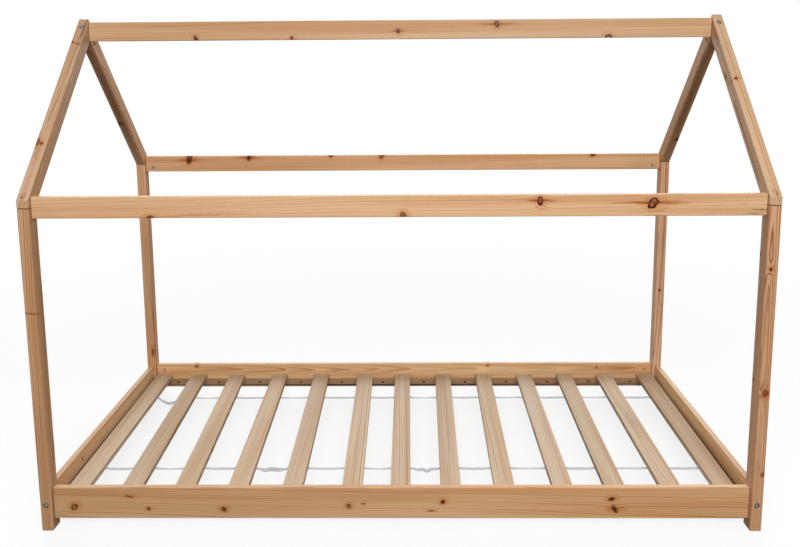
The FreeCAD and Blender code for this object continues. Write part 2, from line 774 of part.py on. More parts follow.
side_board_bolts = mirrored_group("side_board_bolts", [
    copy_of(short_bolt, into_x, LEFT_FACE + " + " + SUNK, BOARD_Y, BASE_BOLT_Z)], both_ways)
side_board_nuts = mirrored_group("side_board_nuts", [
    copy_of(nut, nut_in_side, nut_x, BOARD_Y + " + " + nut_middle, BASE_BOLT_Z)], both_ways)
side_board_dowels = mirrored_group("side_board_dowels", [
    copy_of(peg, into_x, LEFT_FACE + " + post_width - dowel_in_bar", BOARD_Y, BASE_DOWEL_Z)],
    both_ways)

end_board_bolts = mirrored_group("end_board_bolts", [
    copy_of(long_bolt, into_y, END_BOARD_X, FRONT_FACE + " + " + SUNK, "base_board_middle")],
    both_ways)
end_board_nuts = mirrored_group("end_board_nuts", [
    copy_of(nut, nut_in_end, END_BOARD_X + " + " + nut_middle,
            "-clear_width / 2 + nut_setback", "base_board_middle")], both_ways)
end_board_dowels = mirrored_group("end_board_dowels", [
    copy_of(peg, into_y, END_BOARD_X, FRONT_FACE + " + post_depth - dowel_in_bar", dowel_z)
    for dowel_z in (BASE_BOLT_Z, BASE_DOWEL_Z)], both_ways)

eave_board_bolts = mirrored_group("eave_board_bolts", [
    copy_of(short_bolt, into_x, LEFT_FACE + " + " + SUNK, BOARD_Y, TOP_BOLT_Z)], both_ways)
eave_board_nuts = mirrored_group("eave_board_nuts", [
    copy_of(nut, nut_in_side, nut_x, BOARD_Y + " + " + nut_middle, TOP_BOLT_Z)], both_ways)
eave_board_dowels = mirrored_group("eave_board_dowels", [
    copy_of(peg, into_x, LEFT_FACE + " + post_width - dowel_in_bar", BOARD_Y, TOP_DOWEL_Z)],
    both_ways)

ridge_bolts = mirrored_group("ridge_bolts", [
    copy_of(short_bolt, into_x, LEFT_FACE + " + " + SUNK, "0", RIDGE_BOLT_Z)], (ALONG,))
ridge_nuts = mirrored_group("ridge_nuts", [
    copy_of(nut, nut_in_side, nut_x, nut_middle, RIDGE_BOLT_Z)], (ALONG,))
ridge_dowels = mirrored_group("ridge_dowels", [
    copy_of(peg, into_x, LEFT_FACE + " + post_width - dowel_in_bar", "0", RIDGE_DOWEL_Z)],
    (ALONG,))

apex_bolt_angle = "180 deg + " + ROOF_ANGLE
apex_bolt = copy_of(roof_bolt, FreeCAD.Rotation(ALONG, number(apex_bolt_angle)), END_BOARD_X,
                    "-apex_bolt_distance * roof_cos + (%s) * roof_sin" % SUNK,
                    "ridge_height - apex_bolt_distance * roof_sin - (%s) * roof_cos" % SUNK)
bind(apex_bolt, Placement__Rotation__Angle=apex_bolt_angle)
apex_bolts = mirrored_group("apex_bolts", [apex_bolt], (ALONG,))
apex_nut = copy_of(nut, FreeCAD.Rotation(ALONG, number(ROOF_ANGLE)), END_BOARD_X,
                   "apex_nut_y", "apex_nut_z")
bind(apex_nut, Placement__Rotation__Angle=ROOF_ANGLE)
apex_nuts = mirrored_group("apex_nuts", [apex_nut], (ALONG,))

rafter_foot_screws = mirrored_group("rafter_foot_screws", [
    copy_of(foot_screw, FreeCAD.Rotation(ALONG, 180), END_BOARD_X,
            FRONT_FACE + " + foot_screw_setback",
            "post_height + foot_screw_land + foot_screw_head_height")], both_ways)

screw_places = ["batten_screw_pitch * (%d - (batten_screw_count - 1) / 2)" % step
                for step in range(round(number("batten_screw_count")))]
batten_screws = mirrored_group("batten_screws", [
    copy_of(batten_screw, turn(ALONG, -ACROSS), screw_place, "-base_width / 2 + batten_width",
            "batten_bottom + batten_height / 2")
    for screw_place in screw_places], (ACROSS,))
sub_parts += [side_board_bolts, side_board_nuts, side_board_dowels,
              end_board_bolts, end_board_nuts, end_board_dowels,
              eave_board_bolts, eave_board_nuts, eave_board_dowels,
              ridge_bolts, ridge_nuts, ridge_dowels,
              apex_bolts, apex_nuts, rafter_foot_screws, batten_screws]


# ---------------------------------------------------------------------------------------------
# Slat roll: loose slats on the battens, held apart by two tapes stapled under them
# ---------------------------------------------------------------------------------------------
TAPE_ROWS = {"front": ("front_tape_y", FRONT_TAPE_SAG), "back": ("back_tape_y", BACK_TAPE_SAG)}
LEG_MIDDLE = "(staple_crown - staple_wire) / 2"


def slat(label, middle, turned):
    """One slat across the bed, about its own middle, with the holes of its staples underneath."""
    body = new_body(label)
    section = new_sketch(body, "XZ_Plane")
    add_rectangle(section, "-slat_width / 2", "0", "slat_width / 2", "slat_thickness")
    pad(body, section, "slat_length", symmetric=True)
    long_edges = edges_along(body.Shape, ACROSS, number("slat_length / 2"))
    round_edges(body, long_edges, "min(slat_rounding; slat_thickness / 4)")
    holes = new_sketch(body, "XY_Plane")
    for row, _ in TAPE_ROWS.values():
        for side in (-1, 1):
            leg = "%d * %s" % (side, LEG_MIDDLE)
            add_rectangle(holes, leg + " - staple_wire / 2", row + " - staple_wire / 2",
                          leg + " + staple_wire / 2", row + " + staple_wire / 2")
    pocket(body, holes, "staple_leg", along_normal=True)
    body.Placement = FreeCAD.Placement(V(0, 0, 0), FreeCAD.Rotation(UP, -turned))
    place(body, middle, "0", "slat_bottom")
    return body


slats = []
slat_middles = []
for index in range(round(number("slat_count"))):
    slat_slide = SLAT_SLIDE[index % len(SLAT_SLIDE)]
    slat_turn = SLAT_TURN[index % len(SLAT_TURN)]
    slat_middle = "slat_pitch * (%d - (slat_count - 1) / 2) + (%g)" % (index, slat_slide)
    slat_middles.append((slat_middle, slat_turn))
    slats.append(slat("slat_%02d" % (index + 1), slat_middle, slat_turn))
sub_parts += slats


def wire_staple(label):
    """A wire staple about the top face of the tape, with its crown along X and its legs up."""
    body = new_body(label)
    outline = new_sketch(body, "XZ_Plane")
    outer = "staple_crown / 2"
    inner = "staple_crown / 2 - staple_wire"
    crown_bottom = "-tape_thickness - staple_wire"
    add_outline(outline, (
        ("-(%s)" % outer, crown_bottom),
        (outer, crown_bottom),
        (outer, "staple_leg"),
        (inner, "staple_leg"),
        (inner, "-tape_thickness"),
        ("-(%s)" % inner, "-tape_thickness"),
        ("-(%s)" % inner, "staple_leg"),
        ("-(%s)" % outer, "staple_leg"),
    ))
    pad(body, outline, "staple_wire", symmetric=True)
    return body


def staple_row(row):
    """Copies of the staple on a tape row, one in the middle of each slat's underside."""
    copies = []
    for middle, turned in slat_middles:
        copies.append(copy_of(staple, FreeCAD.Rotation(UP, -turned),
                              "%s + (%s) * sin(%g deg)" % (middle, row, turned),
                              "(%s) * cos(%g deg)" % (row, turned), "slat_bottom"))
    return copies


def slat_spans(y):
    """Where each slat's flat underside begins and ends along X, on a line along the bed at y."""
    half = number("slat_width / 2 - slat_rounding")
    middles = [body.Placement.multVec(V(0, y, 0)).x for body in slats]
    return [(middle - half, middle + half) for middle in middles]


def add_tape_line(sketch, spans, sags, height):
    """A long edge of a tape: straight under each slat, and an arc where it hangs between two."""
    for index, (start, end) in enumerate(spans):
        sketch.addGeometry(Part.LineSegment(V(start, height, 0), V(end, height, 0)))
        if index + 1 < len(spans):
            following = spans[index + 1][0]
            lowest = V((end + following) / 2, height - sags[index % len(sags)], 0)
            sketch.addGeometry(Part.Arc(V(end, height, 0), lowest, V(following, height, 0)))


def tape(label, row, sags, tools):
    """A woven tape along the bed under every slat, pierced by its staples."""
    spans = slat_spans(number(row))
    start, end = spans[0][0], spans[-1][1]
    thickness = number("tape_thickness")
    body = new_body(label + "_strip")
    outline = new_sketch(body, "XZ_Plane")
    add_tape_line(outline, spans, sags, 0)
    add_tape_line(outline, spans, sags, -thickness)
    for x in (start, end):
        outline.addGeometry(Part.LineSegment(V(x, 0, 0), V(x, -thickness, 0)))
    pad(body, outline, "tape_width", symmetric=True)
    place(body, "0", row, "slat_bottom")
    pierced = doc.addObject("Part::Cut", label)
    pierced.Label = label
    pierced.Base = body
    pierced.Tool = tools
    return pierced


staple = wire_staple("staple")
staple_rows = []
slat_tapes = []
for side, (row, sags) in TAPE_ROWS.items():
    staple_rows.append(group("staples_" + side, staple_row(row)))
    slat_tapes.append(tape("slat_tape_" + side, row, sags, staple_rows[-1]))
sub_parts += slat_tapes + [group("slat_staples", staple_rows)]


# ---------------------------------------------------------------------------------------------
# Check every object, then write each sub-part
# ---------------------------------------------------------------------------------------------
doc.recompute()
for item in doc.Objects:
    if "Invalid" in item.State or "Error" in item.State:
        raise RuntimeError("%s is in state %s" % (item.Label, item.State))
for item in sub_parts:
    if item.Shape.isNull() or not item.Shape.isValid():
        raise RuntimeError("%s has no valid shape" % item.Label)
    if not item.Shape.Solids:
        raise RuntimeError("%s has no solid" % item.Label)

os.makedirs("parts", exist_ok=True)
for item in sub_parts:
    solids = item.Shape.Solids
    shape = solids[0] if len(solids) == 1 else Part.makeCompound(solids)
    shape.exportStep(os.path.join("parts", item.Label + ".step"))
    print("%-22s %3d solid(s) %12.0f mm3" % (item.Label, len(solids), shape.Volume))
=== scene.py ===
"""House frame bed in natural pine: the look of every part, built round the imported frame."""

import logging
import math
from dataclasses import dataclass, field
from enum import Enum
from typing import Sequence

import bpy
from mathutils import Matrix, Vector


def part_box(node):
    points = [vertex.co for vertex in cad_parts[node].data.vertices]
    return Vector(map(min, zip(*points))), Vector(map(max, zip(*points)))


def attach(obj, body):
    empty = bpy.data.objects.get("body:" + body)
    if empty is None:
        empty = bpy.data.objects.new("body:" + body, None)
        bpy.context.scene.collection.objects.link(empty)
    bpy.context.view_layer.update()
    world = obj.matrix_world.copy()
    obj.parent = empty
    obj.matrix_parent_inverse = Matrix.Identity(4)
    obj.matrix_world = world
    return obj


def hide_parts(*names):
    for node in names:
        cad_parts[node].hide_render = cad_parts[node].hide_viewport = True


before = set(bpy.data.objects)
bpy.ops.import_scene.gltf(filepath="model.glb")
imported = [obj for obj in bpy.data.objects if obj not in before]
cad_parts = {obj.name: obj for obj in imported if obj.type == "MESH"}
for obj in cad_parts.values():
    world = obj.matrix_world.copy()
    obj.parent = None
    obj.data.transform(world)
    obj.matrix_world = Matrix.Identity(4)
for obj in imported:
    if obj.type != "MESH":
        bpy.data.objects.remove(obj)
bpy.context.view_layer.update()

log = logging.getLogger("house_bed")

MM = 0.001
Triple = tuple[float, float, float]


def tone(red: int, green: int, blue: int) -> tuple[float, float, float, float]:
    """Turns a colour as it is read off a screen into the linear colour that a shader takes.

    Args:
        red: Red, 0 to 255.
        green: Green, 0 to 255.
        blue: Blue, 0 to 255.

    Returns:
        The linear colour with full opacity.
    """
    linear = [
        part / 12.92 if part <= 0.04045 else ((part + 0.055) / 1.055) ** 2.4
        for part in (red / 255, green / 255, blue / 255)
    ]
    return (linear[0], linear[1], linear[2], 1.0)


def in_metres(point: Triple) -> Vector:
    """Turns a point in millimetres into one in metres."""
    return Vector(point) * MM


class Bench:
    """Adds nodes to one tree, a shader's or a geometry's, and joins them."""

    def __init__(self, tree: bpy.types.NodeTree) -> None:
        """Takes the tree to work on."""
        self.tree = tree

    def add(self, kind: str, **settings: object) -> bpy.types.Node:
        """Adds a node.

        Args:
            kind: The node's type name.
            settings: Properties to set on it.

        Returns:
            The new node.
        """
        node = self.tree.nodes.new(kind)
        for name, value in settings.items():
            setattr(node, name, value)
        return node

    def feed(self, socket: bpy.types.NodeSocket, value: object) -> None:
        """Joins a socket to another, or sets its value.

        Args:
            socket: The input to feed.
            value: Another node's output, or a plain value.
        """
        if isinstance(value, bpy.types.NodeSocket):
            self.tree.links.new(value, socket)
        else:
            socket.default_value = value

    def put(self, kind: str, inputs: dict[object, object], **settings: object) -> bpy.types.Node:
        """Adds a node and feeds its inputs.

        Args:
            kind: The node's type name.
            inputs: What goes into each input, by name or number.
            settings: Properties to set on the node.

        Returns:
            The new node.
        """
        node = self.add(kind, **settings)
        for key, value in inputs.items():
            self.feed(node.inputs[key], value)
        return node

    def math(self, operation: str, *values: object, clamp: bool = False) -> bpy.types.NodeSocket:
        """Adds a sum on plain numbers.

        Args:
            operation: The sum's name, such as MULTIPLY.
            values: What goes in, in order.
            clamp: Whether the result is kept from 0 to 1.

        Returns:
            The result.
        """
        inputs = dict(enumerate(values))
        return self.put("ShaderNodeMath", inputs, operation=operation, use_clamp=clamp).outputs[0]

    def vector(self, operation: str, *values: object, scale: object = None) -> bpy.types.Node:
        """Adds a sum on vectors.

        Args:
            operation: The sum's name, such as DOT_PRODUCT.
            values: The vectors that go in, in order.
            scale: The factor of a SCALE.

        Returns:
            The node, whose outputs are Vector and Value.
        """
        node = self.put("ShaderNodeVectorMath", dict(enumerate(values)), operation=operation)
        if scale is not None:
            self.feed(node.inputs["Scale"], scale)
        return node

    def noise(self, place: object, scale: Triple, detail: float = 2.0) -> bpy.types.Node:
        """Adds a noise whose size differs along the three axes.

        Args:
            place: The coordinates.
            scale: How many waves there are to a metre along each axis.
            detail: How many finer layers lie on it.

        Returns:
            The noise node.
        """
        stretched = self.vector("MULTIPLY", place, scale).outputs[0]
        return self.put(
            "ShaderNodeTexNoise", {"Vector": stretched, "Scale": 1.0, "Detail": detail}
        )

    def span(self, value: object, low: float, high: float, start: float = 0.0,
             stop: float = 1.0) -> bpy.types.NodeSocket:
        """Adds a smooth step.

        Args:
            value: What is read.
            low: Where the step begins.
            high: Where it ends.
            start: The result before it.
            stop: The result after it.

        Returns:
            The result.
        """
        inputs = {"Value": value, "From Min": low, "From Max": high, "To Min": start, "To Max": stop}
        return self.put("ShaderNodeMapRange", inputs, interpolation_type="SMOOTHSTEP").outputs[0]

    def blend(self, factor: object, first: object, second: object,
              mode: str = "MIX") -> bpy.types.NodeSocket:
        """Adds a mix of two colours.

        Args:
            factor: How much of the second there is.
            first: The first colour.
            second: The second colour.
            mode: How they are mixed.

        Returns:
            The mixed colour.
        """
        node = self.add("ShaderNodeMix", data_type="RGBA", blend_type=mode)
        for index, value in ((0, factor), (6, first), (7, second)):
            self.feed(node.inputs[index], value)
        return node.outputs[2]


def add_input(tree: bpy.types.NodeTree, kind: str, name: str) -> None:
    """Adds a named input to a tree."""
    tree.interface.new_socket(name=name, in_out="INPUT", socket_type="NodeSocket" + kind)


def add_output(tree: bpy.types.NodeTree, kind: str, name: str) -> None:
    """Adds a named output to a tree."""
    tree.interface.new_socket(name=name, in_out="OUTPUT", socket_type="NodeSocket" + kind)


def new_material(name: str) -> tuple[bpy.types.Material, Bench, bpy.types.Node]:
    """Makes a material with an empty glossy shader.

    Args:
        name: The material's name.

    Returns:
        The material, a bench for its nodes, and its Principled shader.
    """
    material = bpy.data.materials.new(name)
    material.use_nodes = True
    material.node_tree.nodes.clear()
    bench = Bench(material.node_tree)
    shader = bench.add("ShaderNodeBsdfPrincipled")
    output = bench.add("ShaderNodeOutputMaterial")
    bench.feed(output.inputs["Surface"], shader.outputs[0])
    return material, bench, shader


# ---------------------------------------------------------------------------------------------
# Pine
# ---------------------------------------------------------------------------------------------
class Grain(Enum):
    """How a piece was cut: the directions along its grain, across its face and into it."""

    ALONG_X = ((1, 0, 0), (0, 0, 1), (0, -1, 0))
    ALONG_Y = ((0, 1, 0), (0, 0, 1), (1, 0, 0))
    ALONG_Y_FLAT = ((0, 1, 0), (-1, 0, 0), (0, 0, 1))
    UPRIGHT = ((0, 0, 1), (1, 0, 0), (0, 1, 0))
    FRONT_SLOPE = ((0, 490, 505), (1, 0, 0), (0, 505, -490))
    BACK_SLOPE = ((0, -490, 505), (1, 0, 0), (0, 505, 490))

    def turned(self) -> Matrix:
        """Gives the turn from the bed's frame to the piece's own, along the grain first."""
        return Matrix([Vector(row).normalized() for row in self.value])


class KnotKind(Enum):
    """What a knot looks like: how dark its heart is, and how dark the bark ring round it."""

    DARK = (1.0, 0.74)
    RINGED = (0.56, 1.0)
    PALE = (0.7, 0.66)


@dataclass(frozen=True)
class Knot:
    """A branch in the wood, where it comes out on the face that shows it, in millimetres."""

    at: Triple
    size: tuple[float, float]
    kind: KnotKind = KnotKind.DARK
    tilt: float = 0.0
    streak: float = 0.0
    swirl: float = 1.0


@dataclass(frozen=True)
class Mark:
    """A split, a bold grain line, a stain or painted shade between two points of one face."""

    start: Triple
    end: Triple
    width: float = 1.6
    depth: float = 1.0
    colour: tuple[int, int, int] = (70, 44, 28)


@dataclass(frozen=True)
class Seam:
    """A joint line in a plane square to an axis, on both sides of the bed's middle, darkened with painted
    shade and dirt.
    """

    across: Triple
    at: float
    width: float = 2.2
    depth: float = 0.8


@dataclass(frozen=True)
class Pine:
    """Clear lacquered pine, sawn so that its rings show the way they do on the real bars."""

    name: str
    early: tuple[int, int, int]
    late: tuple[int, int, int]
    ring: float = 3.4
    contrast: float = 0.55
    taper: float = 0.012
    sway: float = 16.0
    roughness: float = 0.46
    gloss: float = 0.34

    def dress(self, node: str, grain: Grain, pith: tuple[float, float], seed: float,
              knots: Sequence[Knot] = (), marks: Sequence[Mark] = (),
              seams: Sequence[Seam] = (), tint: Triple = (1.0, 1.0, 1.0)) -> None:
        """Gives a wooden part of the frame its own piece of pine.

        Args:
            node: The part's name.
            grain: Which way the piece was cut.
            pith: Where the middle of the tree lay, in millimetres across the piece's face and
                into it, from the piece's middle.
            seed: Which stretch of the tree the piece comes from.
            knots: The knots on it.
            marks: The splits, bold lines, stains and bands of painted shade on it.
            seams: The dark lines where it meets its neighbours: painted shade and dirt.
            tint: How much more red, green and blue it shows than the others: partly its
            own tone, partly painted light and shade.
        """
        low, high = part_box(node)
        middle = (Vector(low) + Vector(high)) / 2
        turn = grain.turned()
        material, bench, shader = new_material(self.name + "_" + node)
        stood = bench.add("ShaderNodeTexCoord").outputs["Object"]
        place = bench.put("ShaderNodeMapping", {
            "Vector": stood, "Location": -(turn @ middle),
            "Rotation": turn.to_euler("XYZ")}).outputs[0]
        bulge, stain = self._add_knots(bench, place, turn, middle, pith, knots)
        wood = bench.put("ShaderNodeGroup", {}, node_tree=wood_group())
        for name, value in {
            "Place": place, "Bulge": bulge, "Pith": (0.0, pith[0] * MM, pith[1] * MM),
            "Seed": (seed * 3.1, seed * 0.37, seed * 0.53), "Ring": self.ring * MM,
            "Taper": self.taper, "Sway": self.sway * MM,
        }.items():
            bench.feed(wood.inputs[name], value)
        end = bench.vector("DOT_PRODUCT", bench.add("ShaderNodeNewGeometry").outputs["Normal"],
                           tuple(turn[0])).outputs["Value"]
        end = bench.span(bench.math("ABSOLUTE", end), 0.72, 0.92)
        late = bench.math("MULTIPLY_ADD", end, 0.4, self.contrast)
        late = bench.math("MULTIPLY", wood.outputs["Late"], late)
        colour = bench.blend(late, tone(*self.early), tone(*self.late))
        colour = bench.blend(bench.span(wood.outputs["Streak"], 0.35, 0.7), colour,
                             bench.blend(1.0, colour, tone(238, 220, 200), "MULTIPLY"))
        colour = bench.blend(1.0, colour, wood.outputs["Fibre"], "MULTIPLY")
        # The tint: the piece's own tone together with painted light and shade.
        colour = bench.blend(1.0, colour, (*tint, 1.0), "MULTIPLY")
        colour = self._paint_knots(bench, colour, stain)
        for mark in marks:
            colour = self._paint_mark(bench, place, turn, middle, colour, mark)
        for seam in seams:
            colour = self._paint_seam_shade_and_dirt(bench, stood, colour, seam)
        colour = bench.blend(end, colour, bench.blend(1.0, colour, tone(222, 205, 188), "MULTIPLY"))
        bench.feed(shader.inputs["Base Color"], colour)
        rough = bench.math("MULTIPLY_ADD", late, 0.08, self.roughness)
        bench.feed(shader.inputs["Roughness"], bench.math("MULTIPLY_ADD", end, 0.2, rough))
        shader.inputs["Specular IOR Level"].default_value = self.gloss
        height = bench.math("MULTIPLY_ADD", wood.outputs["Late"], 0.25, wood.outputs["Height"])
        bump = bench.put("ShaderNodeBump", {"Strength": 0.22, "Distance": 0.0003, "Height": height})
        bench.feed(shader.inputs["Normal"], bump.outputs[0])
        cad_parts[node].material_slots[0].material = material
        log.info("%s dressed in %s, with %d knots", node, self.name, len(knots))

    def _add_knots(self, bench: Bench, place: bpy.types.NodeSocket, turn: Matrix, middle: Vector,
                   pith: tuple[float, float], knots: Sequence[Knot]) -> tuple[object, object]:
        """Adds up what every knot does to the wood.

        Args:
            bench: The material's bench.
            place: The coordinates along the grain.
            turn: The turn to those coordinates.
            middle: The piece's middle.
            pith: Where the middle of the tree lay.
            knots: The knots.

        Returns:
            How far the rings are pushed out, and how deeply the wood is stained.
        """
        bulge: object = 0.0
        stain: object = 0.0
        for knot in knots:
            spot = turn @ (in_metres(knot.at) - middle)
            root = Vector((spot.x, pith[0] * MM, pith[1] * MM))
            root.x -= 0.2 * (spot - root).length
            way = (spot - root).normalized()
            along = (Vector((1, 0, 0)) - way * way.x).normalized()
            across = way.cross(along)
            leaning = Matrix.Rotation(math.radians(knot.tilt), 3, way)
            half_long, half_wide = knot.size[0] * MM, knot.size[1] * MM
            heart, ring = knot.kind.value
            branch = bench.put("ShaderNodeGroup", {}, node_tree=knot_group())
            for name, value in {
                "Place": place, "Root": root, "Way": way, "Reach": (spot - root).length,
                "Long": (leaning @ along) / half_long, "Wide": (leaning @ across) / half_wide,
                "Eye Long": along / (2.1 * half_long + 0.001),
                "Eye Wide": across / (1.7 * half_wide + 0.001),
                "Grit": 0.7 / half_wide, "Heart": heart, "Ring": ring,
                "Streak": 1.0 / (knot.streak * MM) if knot.streak else 1000.0,
                "Swirl": knot.swirl * half_wide,
            }.items():
                bench.feed(branch.inputs[name], value)
            bulge = bench.math("ADD", bulge, branch.outputs["Bulge"])
            stain = bench.math("MAXIMUM", stain, branch.outputs["Stain"])
        return bulge, stain

    def _paint_knots(self, bench: Bench, colour: bpy.types.NodeSocket,
                     stain: object) -> bpy.types.NodeSocket:
        """Colours the knots and the wood they stain.

        Args:
            bench: The material's bench.
            colour: The wood's colour so far.
            stain: How deeply the wood is stained.

        Returns:
            The colour with the knots in it.
        """
        warmed = bench.blend(1.0, colour, tone(228, 186, 136), "MULTIPLY")
        colour = bench.blend(bench.span(stain, 0.0, 0.4), colour, warmed)
        colour = bench.blend(bench.span(stain, 0.34, 0.72), colour, tone(126, 66, 26))
        return bench.blend(bench.span(stain, 0.62, 0.92), colour, tone(66, 20, 7))

    def _paint_seam_shade_and_dirt(self, bench: Bench, stood: bpy.types.NodeSocket, colour: bpy.types.NodeSocket,
                    seam: Seam) -> bpy.types.NodeSocket:
        """Darkens the wood along a joint line with painted shade and dirt.

        Args:
            bench: The material's bench.
            stood: The coordinates in the bed's frame.
            colour: The wood's colour so far.
            seam: The joint line.

        Returns:
            The colour with the joint line in it.
        """
        # Painted shade and dirt: darkest on the joint plane, gone at the seam's width.
        off = bench.vector("DOT_PRODUCT", stood, seam.across).outputs["Value"]
        off = bench.math("SUBTRACT", bench.math("ABSOLUTE", off), seam.at * MM)
        dark = bench.span(bench.math("ABSOLUTE", off), 0.3 * seam.width * MM, seam.width * MM,
                          seam.depth, 0.0)
        return bench.blend(dark, colour, tone(72, 42, 22))

    def _paint_mark(self, bench: Bench, place: bpy.types.NodeSocket, turn: Matrix, middle: Vector,
                    colour: bpy.types.NodeSocket, mark: Mark) -> bpy.types.NodeSocket:
        """Draws a mark that thins out towards both its ends.

        Args:
            bench: The material's bench.
            place: The coordinates along the grain.
            turn: The turn to those coordinates.
            middle: The piece's middle.
            colour: The wood's colour so far.
            mark: The mark.

        Returns:
            The colour with the mark in it.
        """
        start = turn @ (in_metres(mark.start) - middle)
        end = turn @ (in_metres(mark.end) - middle)
        step = end - start
        from_start = bench.vector("SUBTRACT", place, tuple(start)).outputs[0]
        share = bench.vector("DOT_PRODUCT", from_start, tuple(step / step.length_squared))
        share = bench.math("ADD", share.outputs["Value"], 0.0, clamp=True)
        line = bench.vector("SCALE", tuple(step), scale=share).outputs[0]
        waver = bench.noise(place, (60, 0, 0), 2.0).outputs["Color"]
        waver = bench.vector("SCALE", bench.vector("SUBTRACT", waver, (0.5, 0.5, 0.5)).outputs[0],
                             scale=0.006).outputs[0]
        off = bench.vector("SUBTRACT", bench.vector("ADD", from_start, waver).outputs[0], line)
        gap = bench.vector("LENGTH", off.outputs[0]).outputs["Value"]
        thin = bench.math("SINE", bench.math("MULTIPLY", share, math.pi))
        dark = bench.math("MULTIPLY", bench.span(gap, 0.0, mark.width * MM, mark.depth, 0.0), thin)
        return bench.blend(dark, colour, tone(*mark.colour))


def wood_group() -> bpy.types.NodeTree:
    """Gives the shader group that draws rings and fibres, and makes it the first time.

    Returns:
        The group. Late is the dark part of each ring, Streak a broad change of tone, Fibre a
        colour to multiply by, and Height what the bump reads.
    """
    name = "pine_wood"
    if name in bpy.data.node_groups:
        return bpy.data.node_groups[name]
    tree = bpy.data.node_groups.new(name, "ShaderNodeTree")
    for kind, label in (("Vector", "Place"), ("Float", "Bulge"), ("Vector", "Pith"),
                        ("Vector", "Seed"), ("Float", "Ring"), ("Float", "Taper"),
                        ("Float", "Sway")):
        add_input(tree, kind, label)
    for kind, label in (("Float", "Late"), ("Float", "Streak"), ("Color", "Fibre"),
                        ("Float", "Height")):
        add_output(tree, kind, label)
    bench = Bench(tree)
    given = bench.add("NodeGroupInput").outputs
    result = bench.add("NodeGroupOutput").inputs
    seeded = bench.vector("ADD", given["Place"], given["Seed"]).outputs[0]

    sway = bench.noise(seeded, (1.1, 2.5, 2.5), 1.0).outputs["Color"]
    sway = bench.vector("SUBTRACT", sway, (0.5, 0.5, 0.5)).outputs[0]
    sway = bench.vector("SCALE", sway, scale=given["Sway"]).outputs[0]
    waver = bench.noise(seeded, (7.0, 22.0, 22.0), 2.0).outputs["Color"]
    waver = bench.vector("SUBTRACT", waver, (0.5, 0.5, 0.5)).outputs[0]
    waver = bench.vector("SCALE", waver, scale=0.0035).outputs[0]
    moved = bench.vector("ADD", given["Place"], sway).outputs[0]
    moved = bench.vector("ADD", moved, waver).outputs[0]
    from_pith = bench.vector("SUBTRACT", moved, given["Pith"]).outputs[0]
    across = bench.vector("MULTIPLY", from_pith, (0.0, 1.0, 1.0)).outputs[0]
    radius = bench.vector("LENGTH", across).outputs["Value"]
    parts = bench.put("ShaderNodeSeparateXYZ", {"Vector": given["Place"]}).outputs
    radius = bench.math("MULTIPLY_ADD", parts["X"], given["Taper"], radius)
    radius = bench.math("ADD", radius, given["Bulge"])
    seed_parts = bench.put("ShaderNodeSeparateXYZ", {"Vector": given["Seed"]}).outputs
    years = bench.math("ADD", bench.math("MULTIPLY", radius, 70.0), seed_parts["X"])
    uneven = bench.put("ShaderNodeTexNoise", {"W": years, "Scale": 1.0, "Detail": 1.0},
                       noise_dimensions="1D").outputs[0]
    radius = bench.math("MULTIPLY_ADD", uneven, 0.008, radius)
    phase = bench.math("DIVIDE", radius, given["Ring"])
    share = bench.math("FRACT", phase)
    year = bench.put("ShaderNodeTexWhiteNoise", {"W": bench.math("FLOOR", phase)},
                     noise_dimensions="1D").outputs["Value"]
    rise = bench.span(share, 0.3, 0.9)
    fall = bench.span(share, 0.93, 1.0, 1.0, 0.0)
    late = bench.math("MULTIPLY", rise, fall)
    late = bench.math("MULTIPLY", late, bench.math("MULTIPLY_ADD", year, 0.8, 0.3))
    bench.feed(result["Late"], late)

    bench.feed(result["Streak"], bench.noise(seeded, (0.9, 24.0, 24.0), 2.0).outputs[0])
    fine = bench.noise(seeded, (22.0, 900.0, 900.0), 3.0).outputs[0]
    middling = bench.noise(seeded, (5.0, 190.0, 190.0), 2.0).outputs[0]
    canal = bench.span(bench.noise(seeded, (60.0, 1100.0, 1100.0), 0.0).outputs[0], 0.7, 0.8)
    fibre = bench.math("MULTIPLY_ADD", fine, 0.16, 0.86)
    fibre = bench.math("MULTIPLY_ADD", middling, 0.16, fibre)
    fibre = bench.math("MULTIPLY_ADD", canal, -0.12, fibre)
    grey = bench.put("ShaderNodeCombineColor", {0: fibre, 1: fibre, 2: fibre}).outputs[0]
    bench.feed(result["Fibre"], grey)
    bench.feed(result["Height"], bench.math("MULTIPLY_ADD", canal, -0.6, fine))
    return tree


